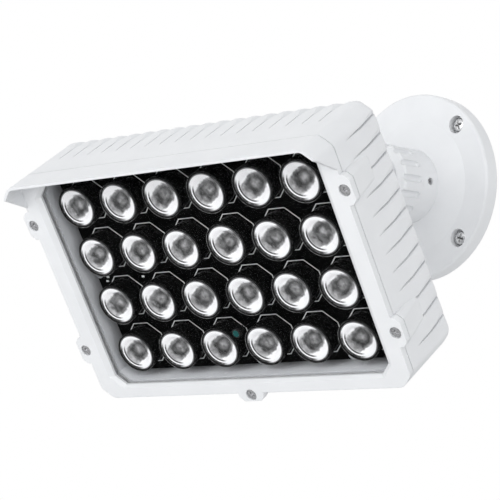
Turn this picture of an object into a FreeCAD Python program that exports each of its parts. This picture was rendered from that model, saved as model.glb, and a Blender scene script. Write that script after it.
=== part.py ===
import FreeCAD, Part
import math
import os

Vector = FreeCAD.Vector

# Infrared illuminator: a cast lamp head with a hood, carried by a ball joint on a round wall base.
# The wall is the plane y = 0, the lamp reaches out along -Y, and +Z is up.
# The base is drawn with its axis on Z and the wall at z = 0.
# The head is drawn with X across its face, Y up its face and Z out of its window; the lens fronts
# lie at z = 0. The arm is drawn from the ball centre along Z. All lengths are in millimetres.

# Aim of the head
PAN_ANGLE = 7.9
DOWN_ANGLE = 32.95

# Light emitting diodes and their optics
LED_COLUMNS = 6
LED_ROWS = 4
LED_PITCH = 27.5
LENS_R = 10.0
LENS_FLANGE = 1.6
LENS_NECK_R = 8.6
LENS_FOOT_R = 4.6
LENS_DEPTH = 9.4
HOLDER_WALL = 0.9
HOLDER_FOOT_R = 10.3
HOLDER_BORE_R = 5.6
LENS_FIT = 0.1
DIE_HALF = 2.2
DIE_HEIGHT = 0.7
DOME_R = 1.4
DOME_TOP_R = 0.7
DOME_HEIGHT = 0.6

# Window and the bay behind it
GRID_MARGIN = 15.6
WINDOW_CORNER = 5.4
GLASS_LAP = 2.9
GLASS_THICK = 2.6
GLASS_GAP = 0.4
SEAL_THICK = 0.4
SEAL_SIGHT = 0.25
POCKET_FIT = 0.3
LINER_WALL = 0.8
LINER_FIT = 0.3
LINER_TOP_GAP = 0.1
BOARD_DEPTH = 11.0
BOARD_THICK = 2.0

# Front frame and hood
FRAME_SIDE = 10.85
FRAME_EDGE = 6.65
HEAD_CORNER = 6.0
HEAD_SOFT = 5.0
FRAME_THICK = 3.1
BEVEL_SIDE = 2.6
BEVEL_EDGE = 1.3
BEVEL_THICK = 1.9
HOOD_REACH = 12.5
HOOD_WALL = 1.4
CHEEK_FOOT_DROP = 16.3
CHEEK_TIP_DROP = 6.2

# Screw lugs round the frame: side lugs at two heights, and one below
LUG_HALF = 7.6
LUG_OUT = 4.5
LUG_CORNER = 2.5
LUG_SOFT = 2.0
LUG_ROOT = 3.0
LUG_TAPER = 20.0
LUG_SINK = 3.7
UPPER_LUG_Y = 37.0
LOWER_LUG_Y = -35.0
SIDE_SCREW_OUT = 0.0
FOOT_SCREW_OUT = 1.1

# Ribbed housing
CREST_END = 36.3
ROLL_MID_DEPTH = 1.9
ROLL_MID_INSET = 0.5
ROLL_DEPTH = 3.4
ROLL_INSET = 1.8
TAIL_DEPTH = 28.9
TAIL_HALF_W = 70.0
TAIL_HALF_H = 45.0
SIDE_RIB_PITCH = 9.49
TOP_RIB_PITCH = 9.4
SIDE_RIB_SHIFT = 3.0
COMB_MARGIN = 5.0
SIDE_RIB_START = 9.5
TOP_RIB_START = 16.0
VALLEY_HALF = 0.5
VALLEY_FOOT_HALF = 0.35
VALLEY_DEPTH = 1.8
CREST_SAG = 1.6
CREST_MID_SHARE = 0.25
RIB_DEPTH = 3.4
COMB_RUN_OUT = 14.0
COMB_RISE = 6.0
BOARD_LEDGE = 7.0
DRIVER_BAY_DEPTH = 17.0
REAR_WALL = 5.0
BAY_DRAFT = 12.0

# Driver electronics in the rear bay
DRIVER_GAP = 12.0
DRIVER_HALF_W = 48.0
DRIVER_HALF_H = 30.0
DRIVER_THICK = 1.6
POST_R = 3.6
POST_EDGE = 5.0
CORE_W = 26.0
CORE_H = 22.0
CORE_DEEP = 17.0
CORE_LEG = 5.0
CORE_WINDOW_W = 5.5
COIL_FIT = 0.2
CAPACITOR_R = 6.5
CAPACITOR_LENGTH = 20.0
CAPACITOR_STEP = 17.0
CAPACITOR_LAND = 0.5
CAPACITOR_GROOVE = 3.0
HEADER_PINS = 6
HEADER_PITCH = 2.54
HEADER_EDGE = 15.0
HEADER_HALF_H = 1.8
HEADER_BASE = 2.5
PIN_HALF = 0.32

# Small fasteners
FRAME_SCREW_R = 1.75
FRAME_SCREW_HEAD_R = 2.7
FRAME_SCREW_HEAD = 1.5
FRAME_SCREW_LENGTH = 12.0
FRAME_SINK = 2.2
BOARD_SCREW_R = 1.5
BOARD_SCREW_HEAD_R = 2.4
BOARD_SCREW_HEAD = 1.4
BOARD_SCREW_LENGTH = 7.0
SOCKET_DEPTH = 0.9
SOCKET_AF = 2.3
ROUND_STEPS = 4
HOLE_FIT = 0.25
THREAD_FIT = 0.05
BLIND_SPACE = 1.0

# Photocell that stands between the lights
SENSOR_X = -1.6
SENSOR_Y = -34.4
SENSOR_R = 2.4
SENSOR_THICK = 1.8
SENSOR_TOP_GAP = 1.0
SENSOR_LEAD_R = 0.3
SENSOR_LEAD_HALF_STEP = 1.3

# Cable gland on the tail
GLAND_Y = 22.0
GLAND_THREAD_R = 6.0
GLAND_BORE_R = 4.4
GLAND_HEX_AF = 17.0
GLAND_HEX = 4.0
GLAND_INNER_LENGTH = 9.0
GLAND_OUTER_LENGTH = 8.0
GLAND_NUT_LENGTH = 11.0
GLAND_NUT_R = 8.0
GLAND_NUT_NOSE_R = 5.8
GLAND_SEAL_R = 3.2
GLAND_SEAL_LENGTH = 6.0
LOCKNUT_AF = 16.0
LOCKNUT_THICK = 2.4

# Ball arm
BALL_OUT = 30.0
BALL_R = 13.5
BALL_FIT = 0.3
ARM_DROP = 30.0
STEM_R = 5.5
STEM_LENGTH = 20.0
SHANK_R = 9.0
SHANK_START = 30.0
COLLAR_START = 62.0
COLLAR_R = 15.0
COLLAR_THICK = 6.0
COLLAR_AF = 24.0
STUD_R = 6.0
STUD_FIT = 0.1
STUD_END_SPACE = 1.5
NUT_SPACE = 12.5
NUT_THICK = 5.5
NUT_AF = 22.0
NUT_SEAT_GAP = 0.1
BOSS_R = 14.0
BOSS_LENGTH = 14.0
STUD_BITE = 11.0

# Wall base
FLANGE_R = 52.0
FLANGE_THICK = 8.4
FLANGE_ROUND = 1.6
DISH_R = 37.0
NECK_R = 20.6
NECK_FOOT = 11.8
NECK_END = 24.2
COLLAR_NECK_R = 18.2
COLLAR_NECK_END = 33.0
BOLT_CIRCLE_R = 44.0
BOLT_COUNT = 4
BOLT_HOLE_R = 2.25
BOLT_SINK_R = 4.9
BOLT_SINK = 4.0
BACK_RELIEF_R = 36.0
BACK_RELIEF = 3.5
SEAT_FLOOR = 14.6
SEAT_WALL = 1.2
SEAT_FIT = 0.1
SEAT_ABOVE = 1.0
SEAT_HOLE_R = 8.0
SET_SCREW_OUT = 18.0
SET_SCREW_R = 1.95
SET_SCREW_SINK = 0.7
SET_SCREW_TIP_GAP = 0.3

# Locking ring
RING_R = 20.9
RING_GAP = 0.1
RING_THREAD_GAP = 0.2
RING_CROWN_GAP = 0.5
RING_BEVEL_START = 37.5
RING_END = 38.4
RING_FACE_R = 20.0
RING_LIP = 6.3
RING_MOUTH_R = 14.6
RING_LOBES = 15
RING_FLUTE_R = 1.9
RING_FLUTE_LAND = 1.2

# Places along the head axis that follow from the sizes above
GLASS_BACK_Z = GLASS_GAP
GLASS_FRONT_Z = GLASS_BACK_Z + GLASS_THICK
SEAM_Z = GLASS_FRONT_Z
FRAME_BACK_Z = SEAM_Z + SEAL_THICK
FACE_Z = FRAME_BACK_Z + FRAME_THICK
HOOD_Z = FACE_Z + HOOD_REACH
BOARD_FRONT_Z = -BOARD_DEPTH
BOARD_BACK_Z = BOARD_FRONT_Z - BOARD_THICK
CREST_END_Z = SEAM_Z - CREST_END
ROLL_Z = CREST_END_Z - ROLL_DEPTH
TAIL_Z = ROLL_Z - TAIL_DEPTH
BOSS_Z = TAIL_Z - BOSS_LENGTH
DRIVER_FRONT_Z = BOARD_BACK_Z - DRIVER_GAP
DRIVER_BACK_Z = DRIVER_FRONT_Z - DRIVER_THICK
BAY_END_Z = TAIL_Z + REAR_WALL

# Half sizes across the head that follow from the sizes above
WINDOW_HALF_W = (LED_COLUMNS - 1) * LED_PITCH / 2 + GRID_MARGIN
WINDOW_HALF_H = (LED_ROWS - 1) * LED_PITCH / 2 + GRID_MARGIN
HEAD_HALF_W = WINDOW_HALF_W + FRAME_SIDE
HEAD_HALF_H = WINDOW_HALF_H + FRAME_EDGE
BALL_Z = BOSS_Z - COLLAR_START - COLLAR_THICK - NUT_SPACE

# Lugs as (turn about Z, distance of the edge, place along the edge, screw beyond the edge)
LUGS = [
    (-90, HEAD_HALF_W, -UPPER_LUG_Y, SIDE_SCREW_OUT),
    (-90, HEAD_HALF_W, -LOWER_LUG_Y, SIDE_SCREW_OUT),
    (90, HEAD_HALF_W, UPPER_LUG_Y, SIDE_SCREW_OUT),
    (90, HEAD_HALF_W, LOWER_LUG_Y, SIDE_SCREW_OUT),
    (180, HEAD_HALF_H, 0.0, FOOT_SCREW_OUT),
]


# Basic shapes
def line(start, end):
    return Part.LineSegment(start, end).toShape()


def polygon_prism(points, z_back, z_front):
    """Straight prism over a closed polygon of (x, y) points."""
    corners = [Vector(x, y, z_back) for x, y in points]
    corners.append(corners[0])
    face = Part.Face(Part.makePolygon(corners))
    return face.extrude(Vector(0, 0, z_front - z_back))


def side_prism(points, x_left, x_right):
    """Straight prism along X over a closed polygon of (y, z) points."""
    corners = [Vector(x_left, y, z) for y, z in points]
    corners.append(corners[0])
    face = Part.Face(Part.makePolygon(corners))
    return face.extrude(Vector(x_right - x_left, 0, 0))


def rod(radius, z_back, z_front, x=0.0, y=0.0):
    """Round rod along Z."""
    return Part.makeCylinder(radius, z_front - z_back, Vector(x, y, z_back))


def hex_rod(across_flats, z_back, z_front):
    """Six-sided rod along Z."""
    radius = across_flats / math.sqrt(3)
    points = [turned_point(radius, 60 * i) for i in range(6)]
    return polygon_prism(points, z_back, z_front)


def turned_point(radius, degrees):
    """Point at an angle on a circle round the Z axis."""
    angle = math.radians(degrees)
    return radius * math.cos(angle), radius * math.sin(angle)


def turned(points):
    """Solid of revolution about Z over a closed polygon of (radius, z) points."""
    corners = [Vector(r, 0, z) for r, z in points]
    corners.append(corners[0])
    face = Part.Face(Part.makePolygon(corners))
    return face.revolve(Vector(0, 0, 0), Vector(0, 0, 1), 360)


def quarter_round(radius, top, round_r):
    """Points that round a rim from its outer wall up to its top."""
    points = []
    for i in range(ROUND_STEPS + 1):
        out, up = turned_point(round_r, 90 * i / ROUND_STEPS)
        points.append((radius - round_r + out, top - round_r + up))
    return points


def soft_corner(before, corner, after, radius):
    """Two ends and the middle of the arc that rounds a corner of an outline."""
    back = (before - corner).normalize()
    ahead = (after - corner).normalize()
    half_angle = back.getAngle(ahead) / 2
    run = radius / math.tan(half_angle)
    inwards = (back + ahead).normalize()
    middle = corner + inwards * (radius / math.sin(half_angle) - radius)
    return corner + back * run, middle, corner + ahead * run


def soft_wire(points, radii, z):
    """Closed outline of (x, y) points with its corners rounded; a radius of zero leaves one sharp."""
    corners = [Vector(x, y, z) for x, y in points]
    count = len(corners)
    edges = []
    arcs = []
    for i, radius in enumerate(radii):
        corner = corners[i]
        if radius > 0:
            arcs.append(soft_corner(corners[i - 1], corner, corners[(i + 1) % count], radius))
        else:
            arcs.append((corner, None, corner))
    for i, (start, middle, end) in enumerate(arcs):
        if middle is not None:
            edges.append(Part.Arc(start, middle, end).toShape())
        edges.append(line(end, arcs[(i + 1) % count][0]))
    return Part.Wire(edges)


def octagon_points(half_w, half_h, corner):
    """Rectangle with its four corners cut at 45 degrees."""
    x_in = half_w - corner
    y_in = half_h - corner
    return [
        (half_w, -y_in), (half_w, y_in), (x_in, half_h), (-x_in, half_h),
        (-half_w, y_in), (-half_w, -y_in), (-x_in, -half_h), (x_in, -half_h),
    ]


def corner_for(corner, grow):
    """Cut of a corner that stays parallel when the outline grows by the same amount all round."""
    return corner + grow * (2 - math.sqrt(2))


def octagon_block(half_w, half_h, corner, z_back, z_front):
    return polygon_prism(octagon_points(half_w, half_h, corner), z_back, z_front)


def octagon_wire(half_w, half_h, corner, z):
    corners = [Vector(x, y, z) for x, y in octagon_points(half_w, half_h, corner)]
    corners.append(corners[0])
    return Part.makePolygon(corners)


def window_block(grow, z_back, z_front):
    """Block with the window's outline, grown all round."""
    corner = corner_for(WINDOW_CORNER, grow)
    return octagon_block(WINDOW_HALF_W + grow, WINDOW_HALF_H + grow, corner, z_back, z_front)


def head_outline(half_w, half_h, corner, soft, z):
    """Outline of the cast head: cut corners, softly rounded on both sides of the cut."""
    points = octagon_points(half_w, half_h, corner)
    return soft_wire(points, [soft] * len(points), z)


def head_block(grow, z_back, z_front):
    """Block with the head's outline, grown all round."""
    corner = corner_for(HEAD_CORNER, grow)
    outline = head_outline(HEAD_HALF_W + grow, HEAD_HALF_H + grow, corner, HEAD_SOFT + grow, z_back)
    return Part.Face(outline).extrude(Vector(0, 0, z_front - z_back))


def turn_to_edge(shape, turn):
    shape.rotate(Vector(0, 0, 0), Vector(0, 0, 1), turn)
    return shape


def led_places():
    """Centres of the light grid, row by row."""
    xs = [(i - (LED_COLUMNS - 1) / 2) * LED_PITCH for i in range(LED_COLUMNS)]
    ys = [(i - (LED_ROWS - 1) / 2) * LED_PITCH for i in range(LED_ROWS)]
    return [(x, y) for y in ys for x in xs]


def repeated(shape, places, z=0.0):
    """Group of separate copies of one solid at (x, y) places."""
    copies = []
    for x, y in places:
        copy = shape.copy()
        copy.translate(Vector(x, y, z))
        copies.append(copy)
    return Part.makeCompound(copies)


# Lugs and frame screws
def lug_points(grow):
    """Outline of a lug: across the edge, and outwards from the edge."""
    half = LUG_HALF + grow
    out = LUG_OUT + grow
    cut = corner_for(LUG_CORNER, grow)
    return [
        (-half, -LUG_ROOT), (half, -LUG_ROOT), (half, out - cut),
        (half - cut, out), (cut - half, out), (-half, out - cut),
    ]


def lug_outlines(grow, z):
    """Outline of every lug across and outwards from its edge, with the turn that places it."""
    soft = LUG_SOFT + grow
    outlines = []
    for turn, edge, along, _ in LUGS:
        points = [(along + across, edge + out) for across, out in lug_points(grow)]
        outlines.append((soft_wire(points, [0, 0, soft, soft, soft, soft], z), turn))
    return outlines


def lug_prisms(grow, z_back, z_front):
    height = Vector(0, 0, z_front - z_back)
    outlines = lug_outlines(grow, z_back)
    return [turn_to_edge(Part.Face(wire).extrude(height), turn) for wire, turn in outlines]


def frame_screw_places():
    places = []
    for turn, edge, along, out in LUGS:
        angle = math.radians(turn)
        x = along * math.cos(angle) - (edge + out) * math.sin(angle)
        y = along * math.sin(angle) + (edge + out) * math.cos(angle)
        places.append((x, y))
    return places


def rim_plate(grow, z_back, z_front):
    """Plate with the head's outline and all its lugs."""
    plate = head_block(grow, z_back, z_front)
    return plate.multiFuse(lug_prisms(grow, z_back, z_front)).removeSplitter()


def screw(shank_r, shank_length, head_r, head_height, seat_z):
    """Cap screw along Z with its head on the plane seat_z and a hexagon socket."""
    body = rod(shank_r, seat_z - shank_length, seat_z)
    head = rod(head_r, seat_z, seat_z + head_height)
    top = seat_z + head_height
    socket = hex_rod(SOCKET_AF, top - SOCKET_DEPTH, top)
    return body.fuse(head).cut(socket).removeSplitter()


# Front frame and hood
def hood():
    """Thin wall that carries the head's top edge forward, with cheeks that slope back below."""
    outer = head_block(0.0, FRAME_BACK_Z, HOOD_Z)
    inner = head_block(-HOOD_WALL, FRAME_BACK_Z, HOOD_Z)
    foot_y = HEAD_HALF_H - CHEEK_FOOT_DROP
    tip_y = HEAD_HALF_H - CHEEK_TIP_DROP
    above = side_prism(
        [
            (foot_y, FRAME_BACK_Z), (foot_y, FACE_Z), (tip_y, HOOD_Z),
            (HEAD_HALF_H, HOOD_Z), (HEAD_HALF_H, FRAME_BACK_Z),
        ],
        -HEAD_HALF_W,
        HEAD_HALF_W,
    )
    return outer.cut(inner).common(above)


def window_bevel():
    """Tapered opening from the face down to the window's edge."""
    narrow_z = FACE_Z - BEVEL_THICK
    corner = corner_for(WINDOW_CORNER, BEVEL_SIDE)
    narrow = octagon_wire(WINDOW_HALF_W, WINDOW_HALF_H, WINDOW_CORNER, narrow_z)
    wide = octagon_wire(WINDOW_HALF_W + BEVEL_SIDE, WINDOW_HALF_H + BEVEL_EDGE, corner, FACE_Z)
    return Part.makeLoft([narrow, wide], True, True)


def front_frame():
    plate = rim_plate(0.0, FRAME_BACK_Z, FACE_Z)
    plate = plate.cut(window_block(0.0, FRAME_BACK_Z, FACE_Z)).cut(window_bevel())
    frame = plate.fuse(hood()).removeSplitter()
    seat_z = FACE_Z - FRAME_SINK
    for x, y in frame_screw_places():
        frame = frame.cut(rod(FRAME_SCREW_R + HOLE_FIT, FRAME_BACK_Z, FACE_Z, x, y))
        frame = frame.cut(rod(FRAME_SCREW_HEAD_R + HOLE_FIT, seat_z, FACE_Z, x, y))
    return frame


def frame_screws():
    seat_z = FACE_Z - FRAME_SINK
    one = screw(FRAME_SCREW_R, FRAME_SCREW_LENGTH, FRAME_SCREW_HEAD_R, FRAME_SCREW_HEAD, seat_z)
    return repeated(one, frame_screw_places())


# Window and seals
def window_glass():
    return window_block(GLASS_LAP, GLASS_BACK_Z, GLASS_FRONT_Z)


def window_gasket():
    outer = window_block(GLASS_LAP, SEAM_Z, FRAME_BACK_Z)
    return outer.cut(window_block(-SEAL_SIGHT, SEAM_Z, FRAME_BACK_Z))


def housing_gasket():
    """Flat seal in the seam between frame and housing, a little inside the outer edge."""
    plate = rim_plate(-SEAL_THICK, SEAM_Z, FRAME_BACK_Z)
    plate = plate.cut(window_block(GLASS_LAP + POCKET_FIT, SEAM_Z, FRAME_BACK_Z))
    for x, y in frame_screw_places():
        plate = plate.cut(rod(FRAME_SCREW_R + HOLE_FIT, SEAM_Z, FRAME_BACK_Z, x, y))
    return plate


def cavity_liner():
    top = GLASS_BACK_Z - LINER_TOP_GAP
    outer = window_block(LINER_WALL, BOARD_FRONT_Z, top)
    return outer.cut(window_block(0.0, BOARD_FRONT_Z, top))


# Ribbed housing
def comb_profile(centres, half_pitch):
    """Closed outline of a rib comb: (across the face, outwards), crests at zero."""
    shoulder = -CREST_SAG
    valley = shoulder - VALLEY_DEPTH
    margin = half_pitch - VALLEY_HALF
    mid_sag = CREST_SAG * CREST_MID_SHARE
    start = Vector(centres[0] - half_pitch, COMB_RISE, 0)
    pen = Vector(start.x, 0, 0)
    edges = [line(start, pen)]
    for centre in centres:
        left = Vector(centre - VALLEY_HALF, shoulder, 0)
        left_foot = Vector(centre - VALLEY_FOOT_HALF, valley, 0)
        right_foot = Vector(centre + VALLEY_FOOT_HALF, valley, 0)
        right = Vector(centre + VALLEY_HALF, shoulder, 0)
        crest = Vector(centre + half_pitch, 0, 0)
        down = Vector(centre - VALLEY_HALF - margin / 2, -mid_sag, 0)
        up = Vector(centre + VALLEY_HALF + margin / 2, -mid_sag, 0)
        edges.append(Part.Arc(pen, down, left).toShape())
        edges.append(line(left, left_foot))
        edges.append(line(left_foot, right_foot))
        edges.append(line(right_foot, right))
        edges.append(Part.Arc(right, up, crest).toShape())
        pen = crest
    end = Vector(pen.x, COMB_RISE, 0)
    edges.append(line(pen, end))
    edges.append(line(end, start))
    return Part.Wire(edges)


def rib_comb(flat, pitch, shift, start, edge, turn):
    """Cutter that leaves ribs on one face: its valleys meet the skin at the start and sink
    evenly towards the back, past the end of the crests."""
    count = int((flat - 2 * COMB_MARGIN) / pitch) + 1
    centres = [shift + (i - (count - 1) / 2) * pitch for i in range(count)]
    face = Part.Face(comb_profile(centres, pitch / 2))
    run = CREST_END - start
    length = run + COMB_RUN_OUT
    comb = face.extrude(Vector(0, -RIB_DEPTH * length / run, -length))
    comb.translate(Vector(0, edge + CREST_SAG + VALLEY_DEPTH, SEAM_Z - start))
    return turn_to_edge(comb, turn)


def rib_combs():
    side_flat = 2 * (HEAD_HALF_H - HEAD_CORNER)
    top_flat = 2 * (HEAD_HALF_W - HEAD_CORNER)
    return [
        rib_comb(side_flat, SIDE_RIB_PITCH, -SIDE_RIB_SHIFT, SIDE_RIB_START, HEAD_HALF_W, -90),
        rib_comb(side_flat, SIDE_RIB_PITCH, SIDE_RIB_SHIFT, SIDE_RIB_START, HEAD_HALF_W, 90),
        rib_comb(top_flat, TOP_RIB_PITCH, 0.0, TOP_RIB_START, HEAD_HALF_H, 0),
        rib_comb(top_flat, TOP_RIB_PITCH, 0.0, TOP_RIB_START, HEAD_HALF_H, 180),
    ]


def lug_bosses():
    """Swellings behind the lugs that slope inwards and end a little proud of the housing's skin."""
    slope = Vector(0, -LUG_SINK, -LUG_TAPER)
    outlines = lug_outlines(0.0, SEAM_Z)
    return [turn_to_edge(Part.Face(wire).extrude(slope), turn) for wire, turn in outlines]


def housing_skin():
    """Outer form: a straight ribbed body, a short roll and a tail that narrows to the back."""
    mid_half_w = HEAD_HALF_W - ROLL_MID_INSET
    mid_half_h = HEAD_HALF_H - ROLL_MID_INSET
    roll_half_w = HEAD_HALF_W - ROLL_INSET
    roll_half_h = HEAD_HALF_H - ROLL_INSET
    sections = [
        head_outline(HEAD_HALF_W, HEAD_HALF_H, HEAD_CORNER, HEAD_SOFT, SEAM_Z),
        head_outline(HEAD_HALF_W, HEAD_HALF_H, HEAD_CORNER, HEAD_SOFT, CREST_END_Z),
        head_outline(mid_half_w, mid_half_h, HEAD_CORNER, HEAD_SOFT, CREST_END_Z - ROLL_MID_DEPTH),
        head_outline(roll_half_w, roll_half_h, HEAD_CORNER, HEAD_SOFT, ROLL_Z),
        head_outline(TAIL_HALF_W, TAIL_HALF_H, HEAD_CORNER, HEAD_SOFT, TAIL_Z),
    ]
    return Part.makeLoft(sections, True, True)


def driver_bay():
    """Space behind the light board, straight at first and then narrowing to the rear wall."""
    half_w = WINDOW_HALF_W + LINER_WALL + LINER_FIT - BOARD_LEDGE
    half_h = WINDOW_HALF_H + LINER_WALL + LINER_FIT - BOARD_LEDGE
    knee_z = BOARD_BACK_Z - DRIVER_BAY_DEPTH
    sections = [
        octagon_wire(half_w, half_h, WINDOW_CORNER, BOARD_BACK_Z),
        octagon_wire(half_w, half_h, WINDOW_CORNER, knee_z),
        octagon_wire(half_w - BAY_DRAFT, half_h - BAY_DRAFT, WINDOW_CORNER, BAY_END_Z),
    ]
    return Part.makeLoft(sections, True, True)


def post_places():
    x = DRIVER_HALF_W - POST_EDGE
    y = DRIVER_HALF_H - POST_EDGE
    return [(x, y), (-x, y), (-x, -y), (x, -y)]


def rear_housing():
    body = housing_skin()
    for comb in rib_combs():
        body = body.cut(comb)
    body = body.multiFuse(lug_bosses())
    body = body.fuse(rod(BOSS_R, BOSS_Z, TAIL_Z, 0, -ARM_DROP))
    body = body.cut(window_block(GLASS_LAP + POCKET_FIT, GLASS_BACK_Z, SEAM_Z))
    body = body.cut(window_block(LINER_WALL + LINER_FIT, BOARD_BACK_Z, GLASS_BACK_Z))
    body = body.cut(driver_bay())
    for x, y in post_places():
        body = body.fuse(rod(POST_R, BAY_END_Z, DRIVER_BACK_Z, x, y))
    screw_tip = FACE_Z - FRAME_SINK - FRAME_SCREW_LENGTH - BLIND_SPACE
    for x, y in frame_screw_places():
        body = body.cut(rod(FRAME_SCREW_R + THREAD_FIT, screw_tip, SEAM_Z, x, y))
    screw_tip = BOARD_FRONT_Z - BOARD_SCREW_LENGTH - BLIND_SPACE
    for x, y in board_screw_places():
        body = body.cut(rod(BOARD_SCREW_R + THREAD_FIT, screw_tip, BOARD_BACK_Z, x, y))
    screw_tip = DRIVER_FRONT_Z - BOARD_SCREW_LENGTH - BLIND_SPACE
    for x, y in post_places():
        body = body.cut(rod(BOARD_SCREW_R + THREAD_FIT, screw_tip, DRIVER_BACK_Z, x, y))
    stud_end = BOSS_Z + STUD_BITE + STUD_END_SPACE
    body = body.cut(rod(STUD_R + STUD_FIT, BOSS_Z, stud_end, 0, -ARM_DROP))
    body = body.cut(rod(GLAND_THREAD_R + HOLE_FIT, TAIL_Z, BAY_END_Z, 0, GLAND_Y))
    return body.removeSplitter()


# Light board and optics
def board_screw_places():
    """Screws stand between the lights, near the edge of the board."""
    x = WINDOW_HALF_W - BOARD_SCREW_HEAD_R - POCKET_FIT
    y = WINDOW_HALF_H - BOARD_SCREW_HEAD_R - POCKET_FIT
    step = 2 * LED_PITCH
    return [(x, 0), (-x, 0), (0, y), (0, -y), (step, y), (-step, y), (step, -y), (-step, -y)]


def led_board():
    board = window_block(LINER_WALL, BOARD_BACK_Z, BOARD_FRONT_Z)
    for x, y in board_screw_places():
        board = board.cut(rod(BOARD_SCREW_R + HOLE_FIT, BOARD_BACK_Z, BOARD_FRONT_Z, x, y))
    return board


def board_screws():
    one = screw(BOARD_SCREW_R, BOARD_SCREW_LENGTH, BOARD_SCREW_HEAD_R, BOARD_SCREW_HEAD, 0.0)
    return repeated(one, board_screw_places(), BOARD_FRONT_Z)


def led_emitters():
    top = BOARD_FRONT_Z + DIE_HEIGHT
    square = [(DIE_HALF, -DIE_HALF), (DIE_HALF, DIE_HALF), (-DIE_HALF, DIE_HALF), (-DIE_HALF, -DIE_HALF)]
    base = polygon_prism(square, BOARD_FRONT_Z, top)
    dome = Part.makeCone(DOME_R, DOME_TOP_R, DOME_HEIGHT, Vector(0, 0, top))
    return repeated(base.fuse(dome), led_places())


def lens_holders():
    """Black cups: a straight wall round the lens flange and a cone that stands on the board."""
    rim_r = LENS_R + LENS_FIT + HOLDER_WALL
    one = turned([
        (LENS_R + LENS_FIT, 0), (rim_r, 0), (rim_r, -LENS_FLANGE), (HOLDER_FOOT_R, BOARD_FRONT_Z),
        (HOLDER_BORE_R, BOARD_FRONT_Z), (LENS_NECK_R + LENS_FIT, -LENS_FLANGE),
        (LENS_R + LENS_FIT, -LENS_FLANGE),
    ])
    return repeated(one, led_places())


def lens_optics():
    """Collimating lenses: a flange in the cup and a cone that narrows towards the light."""
    one = turned([
        (0, 0), (LENS_R, 0), (LENS_R, -LENS_FLANGE), (LENS_NECK_R, -LENS_FLANGE),
        (LENS_FOOT_R, -LENS_DEPTH), (0, -LENS_DEPTH),
    ])
    return repeated(one, led_places())


def light_sensor():
    """Round photocell on two leads."""
    low = -SENSOR_TOP_GAP - SENSOR_THICK
    cell = rod(SENSOR_R, low, -SENSOR_TOP_GAP, SENSOR_X, SENSOR_Y)
    for side in (-1, 1):
        x = SENSOR_X + side * SENSOR_LEAD_HALF_STEP
        cell = cell.fuse(rod(SENSOR_LEAD_R, BOARD_FRONT_Z, low, x, SENSOR_Y))
    return cell


# Driver electronics
def driver_board():
    points = [
        (DRIVER_HALF_W, -DRIVER_HALF_H), (DRIVER_HALF_W, DRIVER_HALF_H),
        (-DRIVER_HALF_W, DRIVER_HALF_H), (-DRIVER_HALF_W, -DRIVER_HALF_H),
    ]
    board = polygon_prism(points, DRIVER_BACK_Z, DRIVER_FRONT_Z)
    for x, y in post_places():
        board = board.cut(rod(BOARD_SCREW_R + HOLE_FIT, DRIVER_BACK_Z, DRIVER_FRONT_Z, x, y))
    return board


def driver_screws():
    one = screw(BOARD_SCREW_R, BOARD_SCREW_LENGTH, BOARD_SCREW_HEAD_R, BOARD_SCREW_HEAD, 0.0)
    return repeated(one, post_places(), DRIVER_FRONT_Z)


def transformer_core():
    """Closed ferrite frame with a middle leg, standing on the driver board."""
    half_w = CORE_W / 2
    half_h = CORE_H / 2
    low = DRIVER_BACK_Z - CORE_DEEP
    core = Part.makeBox(CORE_W, CORE_H, CORE_DEEP, Vector(-half_w, -half_h, low))
    for side in (-1, 1):
        middle = side * (CORE_LEG + CORE_WINDOW_W) / 2
        corner = Vector(middle - CORE_WINDOW_W / 2, CORE_LEG - half_h, low)
        core = core.cut(Part.makeBox(CORE_WINDOW_W, CORE_H - 2 * CORE_LEG, CORE_DEEP, corner))
    return core


def transformer_coil():
    """Winding round the middle leg, between the outer legs."""
    half_w = CORE_LEG / 2 + CORE_WINDOW_W - COIL_FIT
    half_h = CORE_H / 2 - CORE_LEG - COIL_FIT
    hole = CORE_LEG / 2 + COIL_FIT
    low = DRIVER_BACK_Z - CORE_DEEP
    halves = []
    for side in (-1, 1):
        left = min(side * hole, side * half_w)
        halves.append(Part.makeBox(half_w - hole, 2 * half_h, CORE_DEEP, Vector(left, -half_h, low)))
    return Part.makeCompound(halves)


def capacitor_places():
    x = (CORE_W + CAPACITOR_STEP) / 2
    return [(-x, 0), (x, CAPACITOR_STEP / 2), (x, -CAPACITOR_STEP / 2)]


def driver_capacitors():
    low = -CAPACITOR_LENGTH
    groove = -CAPACITOR_GROOVE
    one = turned([
        (0, low), (CAPACITOR_R - CAPACITOR_LAND, low), (CAPACITOR_R, low + CAPACITOR_LAND),
        (CAPACITOR_R, groove - CAPACITOR_LAND), (CAPACITOR_R - CAPACITOR_LAND, groove),
        (CAPACITOR_R, groove + CAPACITOR_LAND), (CAPACITOR_R, 0), (0, 0),
    ])
    return repeated(one, capacitor_places(), DRIVER_BACK_Z)


def power_header():
    """Pin header that carries current from the driver board to the light board."""
    half_w = HEADER_PINS * HEADER_PITCH / 2
    size_y = 2 * HEADER_HALF_H
    y_middle = DRIVER_HALF_H - HEADER_EDGE
    y_low = y_middle - HEADER_HALF_H
    foot = Part.makeBox(2 * half_w, size_y, HEADER_BASE, Vector(-half_w, y_low, DRIVER_FRONT_Z))
    head_low = BOARD_BACK_Z - HEADER_BASE
    head = Part.makeBox(2 * half_w, size_y, HEADER_BASE, Vector(-half_w, y_low, head_low))
    solids = [foot, head]
    for i in range(HEADER_PINS):
        x = (i - (HEADER_PINS - 1) / 2) * HEADER_PITCH - PIN_HALF
        corner = Vector(x, y_middle - PIN_HALF, DRIVER_FRONT_Z + HEADER_BASE)
        length = DRIVER_GAP - 2 * HEADER_BASE
        solids.append(Part.makeBox(2 * PIN_HALF, 2 * PIN_HALF, length, corner))
    return solids[0].multiFuse(solids[1:])


# Cable gland
def at_gland(shape):
    shape.translate(Vector(0, GLAND_Y, TAIL_Z))
    return shape


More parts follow.
